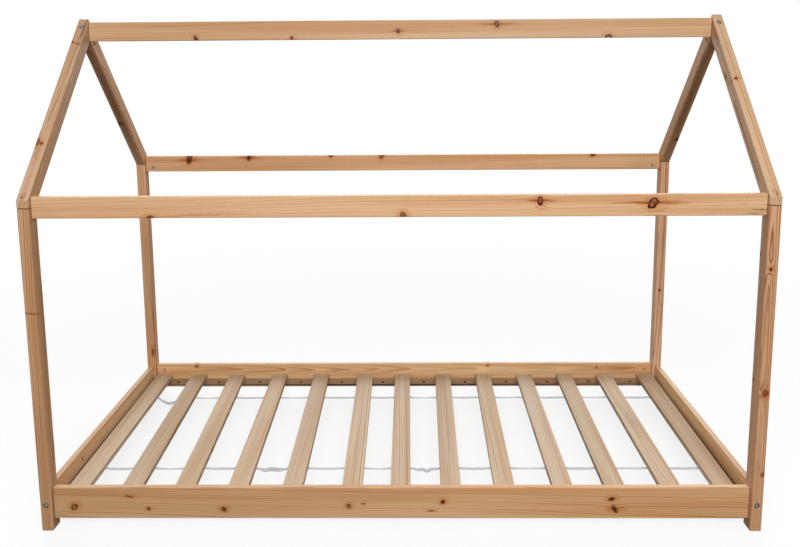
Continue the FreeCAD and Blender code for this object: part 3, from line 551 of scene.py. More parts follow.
def knot_group() -> bpy.types.NodeTree:
    """Gives the shader group that draws one knot, and makes it the first time.

    Returns:
        The group. Bulge is how far the rings around are pushed out, and Stain how dark the knot,
        its bark ring, its eye and its streaks are, from 0 to 1.
    """
    name = "pine_knot"
    if name in bpy.data.node_groups:
        return bpy.data.node_groups[name]
    tree = bpy.data.node_groups.new(name, "ShaderNodeTree")
    for label in ("Place", "Root", "Way", "Long", "Wide", "Eye Long", "Eye Wide"):
        add_input(tree, "Vector", label)
    for label in ("Reach", "Grit", "Heart", "Ring", "Streak", "Swirl"):
        add_input(tree, "Float", label)
    for label in ("Bulge", "Stain"):
        add_output(tree, "Float", label)
    bench = Bench(tree)
    given = bench.add("NodeGroupInput").outputs
    result = bench.add("NodeGroupOutput").inputs

    offset = bench.vector("SUBTRACT", given["Place"], given["Root"]).outputs[0]
    out = bench.vector("DOT_PRODUCT", offset, given["Way"]).outputs["Value"]
    aside = bench.vector("SUBTRACT", offset,
                         bench.vector("SCALE", given["Way"], scale=out).outputs[0]).outputs[0]
    grown = bench.math("DIVIDE", out, given["Reach"])
    grown = bench.math("MINIMUM", bench.math("MAXIMUM", grown, 0.02), 1.3)

    def reach_along(way: str) -> bpy.types.NodeSocket:
        """Gives how far aside a point lies along one way, against the knot's size there."""
        return bench.math("DIVIDE", bench.vector(
            "DOT_PRODUCT", aside, given[way]).outputs["Value"], grown)

    def from_middle(first: bpy.types.NodeSocket,
                    second: bpy.types.NodeSocket) -> bpy.types.NodeSocket:
        """Gives the length of two sides at right angles."""
        squares = bench.math("MULTIPLY_ADD", first, first, bench.math("MULTIPLY", second, second))
        return bench.math("SQRT", squares)

    grit = bench.put("ShaderNodeTexNoise", {"Vector": given["Place"], "Scale": given["Grit"],
                                            "Detail": 2.0}).outputs[0]
    grit = bench.math("SUBTRACT", grit, 0.5)
    near = bench.math("MULTIPLY_ADD", grit, 0.8, from_middle(reach_along("Long"), reach_along("Wide")))
    heart = bench.math("MULTIPLY", bench.span(near, 0.34, 1.1, 1.0, 0.0), given["Heart"])
    own = bench.math("MULTIPLY_ADD", bench.math("SINE", bench.math("MULTIPLY", near, 19.0)), 0.1, 0.95)
    heart = bench.math("MULTIPLY", heart, own)
    band = bench.math("ABSOLUTE", bench.math("SUBTRACT", near, 0.86))
    ring = bench.math("MULTIPLY", bench.span(band, 0.13, 0.42, 1.0, 0.0), given["Ring"])

    eye_long, eye_wide = reach_along("Eye Long"), reach_along("Eye Wide")
    eye = bench.math("MULTIPLY_ADD", grit, 0.25, from_middle(eye_long, eye_wide))
    square = bench.math("MULTIPLY", eye, eye)
    halo = bench.math("MULTIPLY", bench.math("EXPONENT", bench.math("MULTIPLY", square, -1.1)), 0.34)
    lid = bench.math("ABSOLUTE", bench.math("SUBTRACT", eye, 1.0))
    lid = bench.span(lid, 0.02, 0.16, 0.2, 0.0)
    narrow = bench.math("MULTIPLY", eye_wide, 3.6)
    narrow = bench.math("MULTIPLY_ADD", grit, 1.6, narrow)
    narrow = bench.math("EXPONENT", bench.math("MULTIPLY", bench.math("MULTIPLY", narrow, narrow), -1.0))
    far = bench.math("ABSOLUTE", bench.vector("DOT_PRODUCT", aside, (1.0, 0.0, 0.0)).outputs["Value"])
    fade = bench.math("EXPONENT", bench.math("MULTIPLY", bench.math("MULTIPLY", far, given["Streak"]), -1.0))
    streak = bench.math("MULTIPLY", bench.math("MULTIPLY", narrow, fade), 0.8)
    stain = bench.math("MAXIMUM", heart, ring)
    for part in (halo, lid, streak):
        stain = bench.math("MAXIMUM", stain, part)
    bench.feed(result["Stain"], stain)
    bell = bench.math("EXPONENT", bench.math("MULTIPLY", square, -0.7))
    bench.feed(result["Bulge"], bench.math("MULTIPLY", bell, given["Swirl"]))
    return tree


# ---------------------------------------------------------------------------------------------
# Metal and cloth
# ---------------------------------------------------------------------------------------------
@dataclass(frozen=True)
class PlatedSteel:
    """Steel with a thin bright or dark plating, faintly brushed and a little marked."""

    name: str
    colour: tuple[int, int, int]
    worn: tuple[int, int, int]
    roughness: float
    # Radius of the ring of painted shade on the heads, in millimetres.
    shade_ring: float = 4.7

    def material(self, end: str = "", middle: Vector | None = None,
                 axis: Triple = (0.0, 1.0, 0.0)) -> bpy.types.Material:
        """Makes the material.

        Args:
            end: What is added to its name.
            middle: Where the heads' middle lies, in metres, mirrored to the bed's right back
            top, if the heads get a ring of painted shade.
            axis: The way that the heads face.

        Returns:
            The material, with a ring of painted shade round each head's middle, if there is one.
        """
        material, bench, shader = new_material(self.name + end)
        place = bench.add("ShaderNodeTexCoord").outputs["Object"]
        cloud = bench.noise(place, (240, 240, 240), 3.0).outputs[0]
        fine = bench.noise(place, (2600, 2600, 2600), 2.0).outputs[0]
        marks = bench.span(cloud, 0.42, 0.68)
        colour = bench.blend(marks, tone(*self.colour), tone(*self.worn))
        if middle is not None:
            # Painted shade: a dark ring round each head's middle, for the shadow in its recess.
            mirrored = bench.vector("ABSOLUTE", place).outputs[0]
            off = bench.vector("SUBTRACT", mirrored, tuple(middle)).outputs[0]
            off = bench.vector("CROSS_PRODUCT", off, axis).outputs[0]
            away = bench.vector("LENGTH", off).outputs["Value"]
            shade_ring = bench.math("ABSOLUTE", bench.math("SUBTRACT", away, self.shade_ring * MM))
            colour = bench.blend(bench.span(shade_ring, 0.0006, 0.0016, 0.9, 0.0), colour, tone(34, 33, 32))
        bench.feed(shader.inputs["Base Color"], colour)
        bench.feed(shader.inputs["Roughness"],
                   bench.math("MULTIPLY_ADD", cloud, 0.22, self.roughness - 0.1))
        shader.inputs["Metallic"].default_value = 1.0
        bump = bench.put("ShaderNodeBump", {"Strength": 0.25, "Distance": 0.0001, "Height": fine})
        bench.feed(shader.inputs["Normal"], bump.outputs[0])
        return material


@dataclass(frozen=True)
class WovenTape:
    """White woven tape, plain weave with a firm edge on both sides."""

    name: str = "woven_tape"
    yarn: tuple[int, int, int] = (212, 213, 218)
    shadow: tuple[int, int, int] = (150, 151, 160)
    warp: float = 0.75
    weft: float = 0.9

    def material(self, width: float) -> bpy.types.Material:
        """Makes the material.

        Args:
            width: The tape's width in millimetres. Not used.

        Returns:
            The material, which reads the lengths along and round the tape in its own layer.
        """
        material, bench, shader = new_material(self.name)
        laid = bench.add("ShaderNodeAttribute", attribute_name="weave").outputs["Vector"]
        parts = bench.put("ShaderNodeSeparateXYZ", {"Vector": laid}).outputs
        along = bench.math("SINE", bench.math("MULTIPLY", parts["X"], math.tau / self.weft / MM))
        across = bench.math("SINE", bench.math("MULTIPLY", parts["Y"], math.tau / self.warp / MM))
        over = bench.math("MULTIPLY", along, across)
        level = bench.math("MULTIPLY_ADD", over, 0.5, 0.5)
        fuzz = bench.noise(laid, (700, 700, 1), 2.0).outputs[0]
        shadow = bench.math("MULTIPLY_ADD", fuzz, 0.35, bench.math("MULTIPLY", level, 0.45))
        bench.feed(shader.inputs["Base Color"], bench.blend(shadow, tone(*self.yarn), tone(*self.shadow)))
        shader.inputs["Roughness"].default_value = 0.85
        shader.inputs["Sheen Weight"].default_value = 0.25
        shader.inputs["Sheen Roughness"].default_value = 0.5
        bump = bench.put("ShaderNodeBump", {"Strength": 0.5, "Distance": 0.00025, "Height": level})
        bench.feed(shader.inputs["Normal"], bump.outputs[0])
        return material


# ---------------------------------------------------------------------------------------------
# Rows and runs
# ---------------------------------------------------------------------------------------------
def marked_points(name: str, points: Sequence[Triple], layer: str, values: Sequence[float],
                  joined: bool = False) -> bpy.types.Object:
    """Makes loose points, or a line through them, with a number on each.

    Args:
        name: The object's name.
        points: Where the points are, in millimetres.
        layer: The name that the numbers are kept under.
        values: The numbers.
        joined: Whether a line joins the points in order.

    Returns:
        The object.
    """
    edges = [(index, index + 1) for index in range(len(points) - 1)] if joined else []
    mesh = bpy.data.meshes.new(name)
    mesh.from_pydata([in_metres(point) for point in points], edges, [])
    mesh.attributes.new(layer, "FLOAT", "POINT").data.foreach_set("value", list(values))
    guide = bpy.data.objects.new(name, mesh)
    bpy.context.scene.collection.objects.link(guide)
    return guide


def grow(guide: bpy.types.Object, tree: bpy.types.NodeTree,
         sizes: dict[str, object]) -> bpy.types.Object:
    """Runs a tree of Geometry Nodes on a guide and keeps the result as a plain mesh.

    Args:
        guide: The points or line that the tree works on, which is used up.
        tree: The tree.
        sizes: The values of its named inputs.

    Returns:
        The finished piece, under the guide's name.
    """
    name = guide.name
    modifier = guide.modifiers.new("grow", "NODES")
    modifier.node_group = tree
    for item in tree.interface.items_tree:
        if item.item_type == "SOCKET" and item.in_out == "INPUT" and item.name in sizes:
            modifier[item.identifier] = sizes[item.name]
    solid = bpy.data.meshes.new_from_object(guide.evaluated_get(bpy.context.evaluated_depsgraph_get()))
    bpy.data.objects.remove(guide)
    solid.name = name
    piece = bpy.data.objects.new(name, solid)
    bpy.context.scene.collection.objects.link(piece)
    return piece


def new_row_tree(name: str, sizes: Sequence[str]) -> tuple[bpy.types.NodeTree, Bench]:
    """Starts a tree that has a geometry, some sizes and a material as its inputs.

    Args:
        name: The tree's name.
        sizes: The names of its sizes.

    Returns:
        The tree and a bench for it.
    """
    tree = bpy.data.node_groups.new(name, "GeometryNodeTree")
    add_input(tree, "Geometry", "Guide")
    for size in sizes:
        add_input(tree, "Float", size)
    add_input(tree, "Material", "Finish")
    add_output(tree, "Geometry", "Piece")
    return tree, Bench(tree)


def finish_tree(bench: Bench, geometry: bpy.types.NodeSocket, finish: bpy.types.NodeSocket) -> None:
    """Ends a tree in real geometry that carries the material.

    Args:
        bench: The tree's bench.
        geometry: What has been made.
        finish: The material.
    """
    real = bench.put("GeometryNodeRealizeInstances", {"Geometry": geometry}).outputs[0]
    dressed = bench.put("GeometryNodeSetMaterial", {"Geometry": real, "Material": finish})
    bench.feed(bench.add("NodeGroupOutput").inputs["Piece"], dressed.outputs[0])


def stand_on_points(bench: Bench, guide: bpy.types.NodeSocket,
                    shape: bpy.types.NodeSocket) -> bpy.types.NodeSocket:
    """Sets a copy of a shape on each point, turned about Z by the point's own angle.

    Args:
        bench: The tree's bench.
        guide: The points.
        shape: The shape.

    Returns:
        The copies.
    """
    angle = bench.put("GeometryNodeInputNamedAttribute", {"Name": "angle"}, data_type="FLOAT")
    turned = bench.put("ShaderNodeCombineXYZ", {"Z": angle.outputs["Attribute"]}).outputs[0]
    turned = bench.put("FunctionNodeEulerToRotation", {0: turned}).outputs[0]
    points = bench.put("GeometryNodeMeshToPoints", {"Mesh": guide}).outputs[0]
    return bench.put("GeometryNodeInstanceOnPoints", {
        "Points": points, "Instance": shape, "Rotation": turned}).outputs[0]


# ---------------------------------------------------------------------------------------------
# The bed
# ---------------------------------------------------------------------------------------------
BAR_PINE = Pine("bar_pine", early=(215, 171, 130), late=(144, 90, 52), ring=3.6, contrast=0.88,
                taper=0.0105)
BOARD_PINE = Pine("board_pine", early=(214, 172, 129), late=(160, 106, 64), ring=4.0,
                  contrast=0.48, sway=12.0)
SLAT_PINE = Pine("slat_pine", early=(210, 185, 154), late=(136, 100, 68), ring=4.2, contrast=0.75,
                 sway=7.0, roughness=0.58)
# Joint lines darkened with painted shade and dirt where the pieces meet.
BOARD_ENDS = Seam((1, 0, 0), 997.0)
POST_TOP = Seam((0, 0, 1), 943.0)
APEX = Seam((0, 1, 0), 0.0, width=1.6, depth=0.9)
FIGURED_PINE = Pine("figured_pine", early=(220, 180, 134), late=(160, 108, 62), ring=3.6,
                    contrast=0.7, taper=0.016, sway=20.0)
BATTEN_PINE = Pine("batten_pine", early=(166, 132, 100), late=(124, 92, 64), ring=2.4,
                   roughness=0.66)
DOWEL_BEECH = Pine("dowel_beech", early=(208, 168, 128), late=(184, 140, 98), ring=1.2,
                   contrast=0.35, sway=2.0, roughness=0.6)


@dataclass
class HouseFrame:
    """The four posts, the four rafters and the boards that tie them together."""

    finish: Pine = BAR_PINE
    board_finish: Pine = BOARD_PINE
    # Dark brown painted as shade along the back rafters' undersides.
    underside_shade: tuple[int, int, int] = (96, 62, 34)
    # Brown painted as shade on the front posts' inner sides.
    inner_side_shade: tuple[int, int, int] = (150, 100, 54)

    def dress_posts(self) -> None:
        """Dresses the four posts."""
        self.finish.dress("post_front_left", Grain.UPRIGHT, (46.0, 18.0), 1.3, [
            Knot((-1014, -490, 649), (1.2, 20), KnotKind.PALE, tilt=8)],
            # Painted shade down the post's inner side.
            [Mark((-985, -467, -300), (-985, -467, 1250), 34.0, 0.55, self.inner_side_shade)],
            [POST_TOP], (0.88, 0.89, 0.91))
        self.finish.dress("post_front_right", Grain.UPRIGHT, (-4.0, -6.0), 2.6, [
            Knot((1010, -490, 767), (6, 3.8), swirl=1.0),
            Knot((1015, -490, 412), (9, 7.5), KnotKind.PALE, swirl=0.7),
            Knot((1024, -490, 172), (5, 4.5), KnotKind.PALE, swirl=0.9),
            Knot((997, -452, 802), (4, 2)), Knot((997, -456, 441), (4, 2.5))],
            # Painted shade down the post's inner side.
            [Mark((985, -467, -300), (985, -467, 1250), 34.0, 0.55, self.inner_side_shade),
             Mark((1014, -490, 753), (1012, -490, 690), 1.5, 0.75, (128, 66, 34)),
             Mark((1008, -490, 754), (1012, -490, 722), 1.3, 0.7, (128, 66, 34)),
             Mark((1012, -490, 398), (1019, -490, 352), 1.5, 0.75, (128, 66, 34)),
             Mark((1008, -490, 400), (1006, -490, 330), 1.3, 0.7, (128, 66, 34)),
             Mark((1003, -490, 172), (1008, -490, 224), 1.4, 0.7, (120, 66, 36)),
             Mark((1015, -490, 168), (1009, -490, 222), 1.4, 0.7, (120, 66, 36))],
            [POST_TOP], (1.0, 1.06, 1.22))
        self.finish.dress("post_back_left", Grain.UPRIGHT, (-60.0, 25.0), 3.9, [
            Knot((-997, 449, 191), (7, 3.5)), Knot((-1006, 445, 181), (14, 2), KnotKind.PALE)],
            seams=[POST_TOP], tint=(1.12, 1.18, 1.3))
        self.finish.dress("post_back_right", Grain.UPRIGHT, (28.0, 60.0), 5.2, [
            Knot((1011, 445, 433), (4, 3.6))],
            [Mark((1003, 445, 404), (1024, 445, 360), 2.4, 0.7, (120, 70, 40))],
            [POST_TOP], (1.18, 1.26, 1.46))

    def dress_rafters(self) -> None:
        """Dresses the four rafters."""
        self.finish.dress(
            "rafter_front_left", Grain.FRONT_SLOPE, (14.0, 6.0), 6.1,
            [Knot((-1012, -354, 1106), (4, 3)), Knot((-1027, -350, 1110), (14, 5), KnotKind.PALE),
             Knot((-1029, -70, 1399), (3, 3)), Knot((-1005, -77, 1392), (3, 3)),
             Knot((-1017, -74, 1395), (1.2, 12), KnotKind.PALE, tilt=-10)],
            [Mark((-1001, 10, 1481), (-1009, -78, 1391), 3.6, 1.0, (44, 24, 14)),
             Mark((-1022, -330, 1131), (-1004, -190, 1276), 2.6, 0.7, (120, 74, 40)),
             Mark((-1005, -220, 1245), (-1008, -60, 1410), 2.4, 0.65, (120, 74, 40)),
             Mark((-1016, -410, 1049), (-1020, -340, 1121), 12.0, 0.4, (150, 88, 44))],
            [POST_TOP, APEX], (0.94, 1.08, 1.28))
        self.finish.dress("rafter_front_right", Grain.FRONT_SLOPE, (-40.0, 20.0), 7.4, [
            Knot((1008, -192, 1274), (4, 3.4)), Knot((998, -146, 1276), (10, 4), KnotKind.PALE)],
            seams=[POST_TOP, APEX], tint=(0.98, 1.12, 1.28))
        self.finish.dress("rafter_back_left", Grain.BACK_SLOPE, (22.0, -30.0), 8.7,
                          [Knot((-1023, 280, 1114), (7, 5))],
                          # A wide band of painted shade along the rafter's underside.
                          [Mark((-1013, -125, 1517), (-1013, 532, 840), 30.0, 1.0, self.underside_shade)],
                          [POST_TOP, APEX], (1.1, 1.16, 1.26))
        self.finish.dress("rafter_back_right", Grain.BACK_SLOPE, (-18.0, -24.0), 9.8,
                          [Knot((1023, 354, 1038), (7, 5))],
                          # A wide band of painted shade along the rafter's underside.
                          [Mark((1013, -125, 1517), (1013, 532, 840), 30.0, 1.0, self.underside_shade)],
                          [POST_TOP, APEX], (1.0, 1.04, 1.06))

    def dress_boards(self) -> None:
        """Dresses the ridge beam and the boards at the eaves."""
        self.board_finish.dress("ridge_beam", Grain.ALONG_X, (62.0, -60.0), 1.7, [
            Knot((-653, -9, 1408), (6, 5.5)), Knot((-343, -9, 1408), (4.5, 3.6)),
            Knot((-2, -9, 1427), (6, 5), streak=14),
            Knot((313, -9, 1447), (7, 7), KnotKind.RINGED, streak=45),
            Knot((671, -9, 1400), (11, 7), KnotKind.RINGED)],
            seams=[BOARD_ENDS], tint=(0.92, 0.95, 1.0))
        self.board_finish.dress("eave_board_front", Grain.ALONG_X, (46.0, -40.0), 2.9, [
            Knot((-672, -476, 914), (10, 4)), Knot((16, -476, 917), (9, 7), KnotKind.PALE),
            Knot((386, -476, 958), (7, 9.5), KnotKind.RINGED, tilt=-20, streak=26),
            Knot((690, -476, 951), (15, 8.5), KnotKind.RINGED, tilt=28, streak=60, swirl=1.2)],
            [Mark((560, -476, 950), (800, -476, 950), 4.0, 0.7, (134, 74, 38)),
             Mark((345, -476, 958), (430, -476, 958), 3.4, 0.8, (120, 62, 30)),
             Mark((-700, -476, 916), (-380, -476, 928), 3.2, 0.6, (150, 92, 52)),
             Mark((950, -476, 930), (1005, -476, 928), 3.0, 0.9),
             Mark((930, -476, 919), (990, -476, 917), 2.6, 0.8)],
            [BOARD_ENDS], (1.03, 1.05, 1.1))
        self.board_finish.dress("eave_board_back", Grain.ALONG_X, (-52.0, 50.0), 4.3, [
            Knot((-827, 458, 956), (10, 8), streak=30),
            Knot((-594, 458, 964), (7, 6), streak=30), Knot((-275, 458, 971), (8, 3)),
            Knot((-79, 458, 967), (8, 5), KnotKind.PALE), Knot((738, 458, 970), (9, 4))],
            seams=[BOARD_ENDS], tint=(1.06, 1.06, 1.09))


@dataclass
class BedBase:
    """The low box of boards between the posts, and the battens that carry the slats."""

    board_finish: Pine = BOARD_PINE
    figured_finish: Pine = FIGURED_PINE
    batten_finish: Pine = BATTEN_PINE
    # Dark brown for painted shade under the back batten and in the slots beside the end slats.
    shade_brown: tuple[int, int, int] = (44, 26, 16)
    screw_count: int = 12
    screw_pitch: float = 164.909
    screw_height: float = 57.0
    batten_face: float = 440.5
    head_diameter: float = 8.0
    head_depth: float = 2.0
    shank_diameter: float = 4.0
    shank_length: float = 28.0

    def dress_boards(self) -> None:
        """Dresses the side boards and the end boards."""
        self.figured_finish.dress("side_board_front", Grain.ALONG_X, (-74.0, -58.0), 5.6, [
            Knot((-938, -476, 65), (9, 6.5), KnotKind.RINGED, tilt=12),
            Knot((-778, -476, 98), (9, 1.5), KnotKind.PALE, tilt=-10),
            Knot((-723, -476, 60), (5, 3.6), tilt=-30),
            Knot((-506, -476, 59), (8, 5), tilt=-32, swirl=1.2),
            Knot((-146, -476, 68), (7, 4.5), KnotKind.PALE, tilt=-20, swirl=1.2),
            Knot((-104, -476, 76), (4, 1.6), KnotKind.PALE),
            Knot((124, -476, 81), (6, 4), swirl=1.1), Knot((90, -476, 54), (8, 1.3)),
            Knot((605, -476, 90), (9, 3.4), tilt=8), Knot((615, -476, 59), (12, 5), tilt=-42)],
            # A broad band of painted shade, darkest towards the board's left end.
            [Mark((-1900, -476, 80), (200, -476, 80), 140.0, 0.28, (140, 94, 48))],
            [BOARD_ENDS], (0.97, 0.95, 0.98))
        self.figured_finish.dress("side_board_back", Grain.ALONG_X, (26.0, 40.0), 6.8, [
            Knot((-836, 458, 117), (5, 4)), Knot((339, 458, 118), (4, 3), KnotKind.PALE),
            Knot((777, 458, 110), (4, 3), KnotKind.PALE)],
            # Painted shade on the back board's inner face under the batten.
            [Mark((-1100, 458, 38), (1100, 458, 38), 12.0, 0.8, self.shade_brown)], [BOARD_ENDS],
            (1.08, 1.12, 1.16))
        # Painted shade and dirt where the end boards meet the posts.
        end_seam = Seam((0, 1, 0), 445.0)
        self.board_finish.dress(
            "end_board_left", Grain.ALONG_Y, (-66.0, -54.0), 7.9,
            # Painted shadow in the slot between the end board and the end slat.
            marks=[Mark((-1004, -700, 64), (-1004, 700, 64), 15.0, 1.0, self.shade_brown),
                   # A short dark stroke in the same brown, above the end slat.
                   Mark((-1004, -262, 110), (-1004, -248, 84), 6.0, 1.0, self.shade_brown)],
            seams=[end_seam], tint=(0.98, 1.04, 1.07))
        self.board_finish.dress(
            "end_board_right", Grain.ALONG_Y, (64.0, 60.0), 9.1,
            # Painted shadow in the slot between the end board and the end slat.
            marks=[Mark((1004, -700, 64), (1004, 700, 64), 15.0, 1.0, self.shade_brown)],
            seams=[end_seam], tint=(1.0, 1.05, 1.04))

    def dress_battens(self) -> None:
        """Dresses the two battens."""
        self.batten_finish.dress("batten_front", Grain.ALONG_X, (20.0, 34.0), 3.4)
        self.batten_finish.dress("batten_back", Grain.ALONG_X, (-24.0, 40.0), 4.8)

    def screw_tree(self) -> bpy.types.NodeTree:
        """Makes the tree that drives countersunk screws with a cross recess into the battens.

        Returns:
            The tree.
        """
        tree, bench = new_row_tree("countersunk_screws", ("Head", "Depth", "Shank", "Length"))
        given = bench.add("NodeGroupInput").outputs
        head_radius = bench.math("DIVIDE", given["Head"], 2.0)
        shank_radius = bench.math("DIVIDE", given["Shank"], 2.0)
        head = bench.put("GeometryNodeMeshCone", {
            "Vertices": 28, "Radius Top": head_radius, "Radius Bottom": shank_radius,
            "Depth": given["Depth"]}).outputs["Mesh"]
        bottom = bench.math("MULTIPLY", given["Depth"], -1.0)
        head = bench.put("GeometryNodeTransform", {
            "Geometry": head,
            "Translation": bench.put("ShaderNodeCombineXYZ", {"Z": bottom}).outputs[0]}).outputs[0]
        shank = bench.put("GeometryNodeMeshCone", {
            "Vertices": 16, "Radius Top": shank_radius,
            "Radius Bottom": bench.math("MULTIPLY", shank_radius, 0.15),
            "Depth": given["Length"]}).outputs["Mesh"]
        low = bench.math("SUBTRACT", bench.math("MULTIPLY", given["Length"], -1.0), given["Depth"])
        shank = bench.put("GeometryNodeTransform", {
            "Geometry": shank,
            "Translation": bench.put("ShaderNodeCombineXYZ", {"Z": low}).outputs[0]}).outputs[0]
        long_side = bench.math("MULTIPLY", given["Head"], 0.62)
        short_side = bench.math("MULTIPLY", given["Head"], 0.15)
        deep = bench.math("MULTIPLY", given["Depth"], 1.3)
        arms = []
        for first, second in ((long_side, short_side), (short_side, long_side)):
            size = bench.put("ShaderNodeCombineXYZ", {"X": first, "Y": second, "Z": deep})
            arms.append(bench.put("GeometryNodeMeshCube", {"Size": size.outputs[0]}).outputs["Mesh"])
        cut = bench.add("GeometryNodeMeshBoolean", operation="DIFFERENCE")
        bench.feed(cut.inputs["Mesh 1"], head)
        for arm in arms:
            bench.tree.links.new(arm, cut.inputs["Mesh 2"])
        joined = bench.add("GeometryNodeJoinGeometry")
        for part in (cut.outputs["Mesh"], shank):
            bench.tree.links.new(part, joined.inputs[0])
        lying = bench.put("GeometryNodeTransform", {
            "Geometry": joined.outputs[0], "Rotation": (-math.pi / 2, 0.0, 0.0)}).outputs[0]
        copies = stand_on_points(bench, given["Guide"], lying)
        finish_tree(bench, copies, given["Finish"])
        return tree

    def drive_screws(self, steel: bpy.types.Material) -> None:
        """Drives the screws that hold both battens.

        Args:
            steel: Their material.
        """
        first = -(self.screw_count - 1) / 2
        points: list[Triple] = []
        angles: list[float] = []
        for side, angle in ((1.0, math.pi), (-1.0, 0.0)):
            for step in range(self.screw_count):
                points.append((self.screw_pitch * (first + step), side * self.batten_face,
                               self.screw_height))
                angles.append(angle)
        guide = marked_points("batten_screw_row", points, "angle", angles)
        row = grow(guide, self.screw_tree(), {
            "Head": self.head_diameter * MM, "Depth": self.head_depth * MM,
            "Shank": self.shank_diameter * MM, "Length": self.shank_length * MM,
            "Finish": steel})
        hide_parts("batten_screws")
        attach(row, "frame")
        log.info("%s holds %d screws", row.name, len(points))


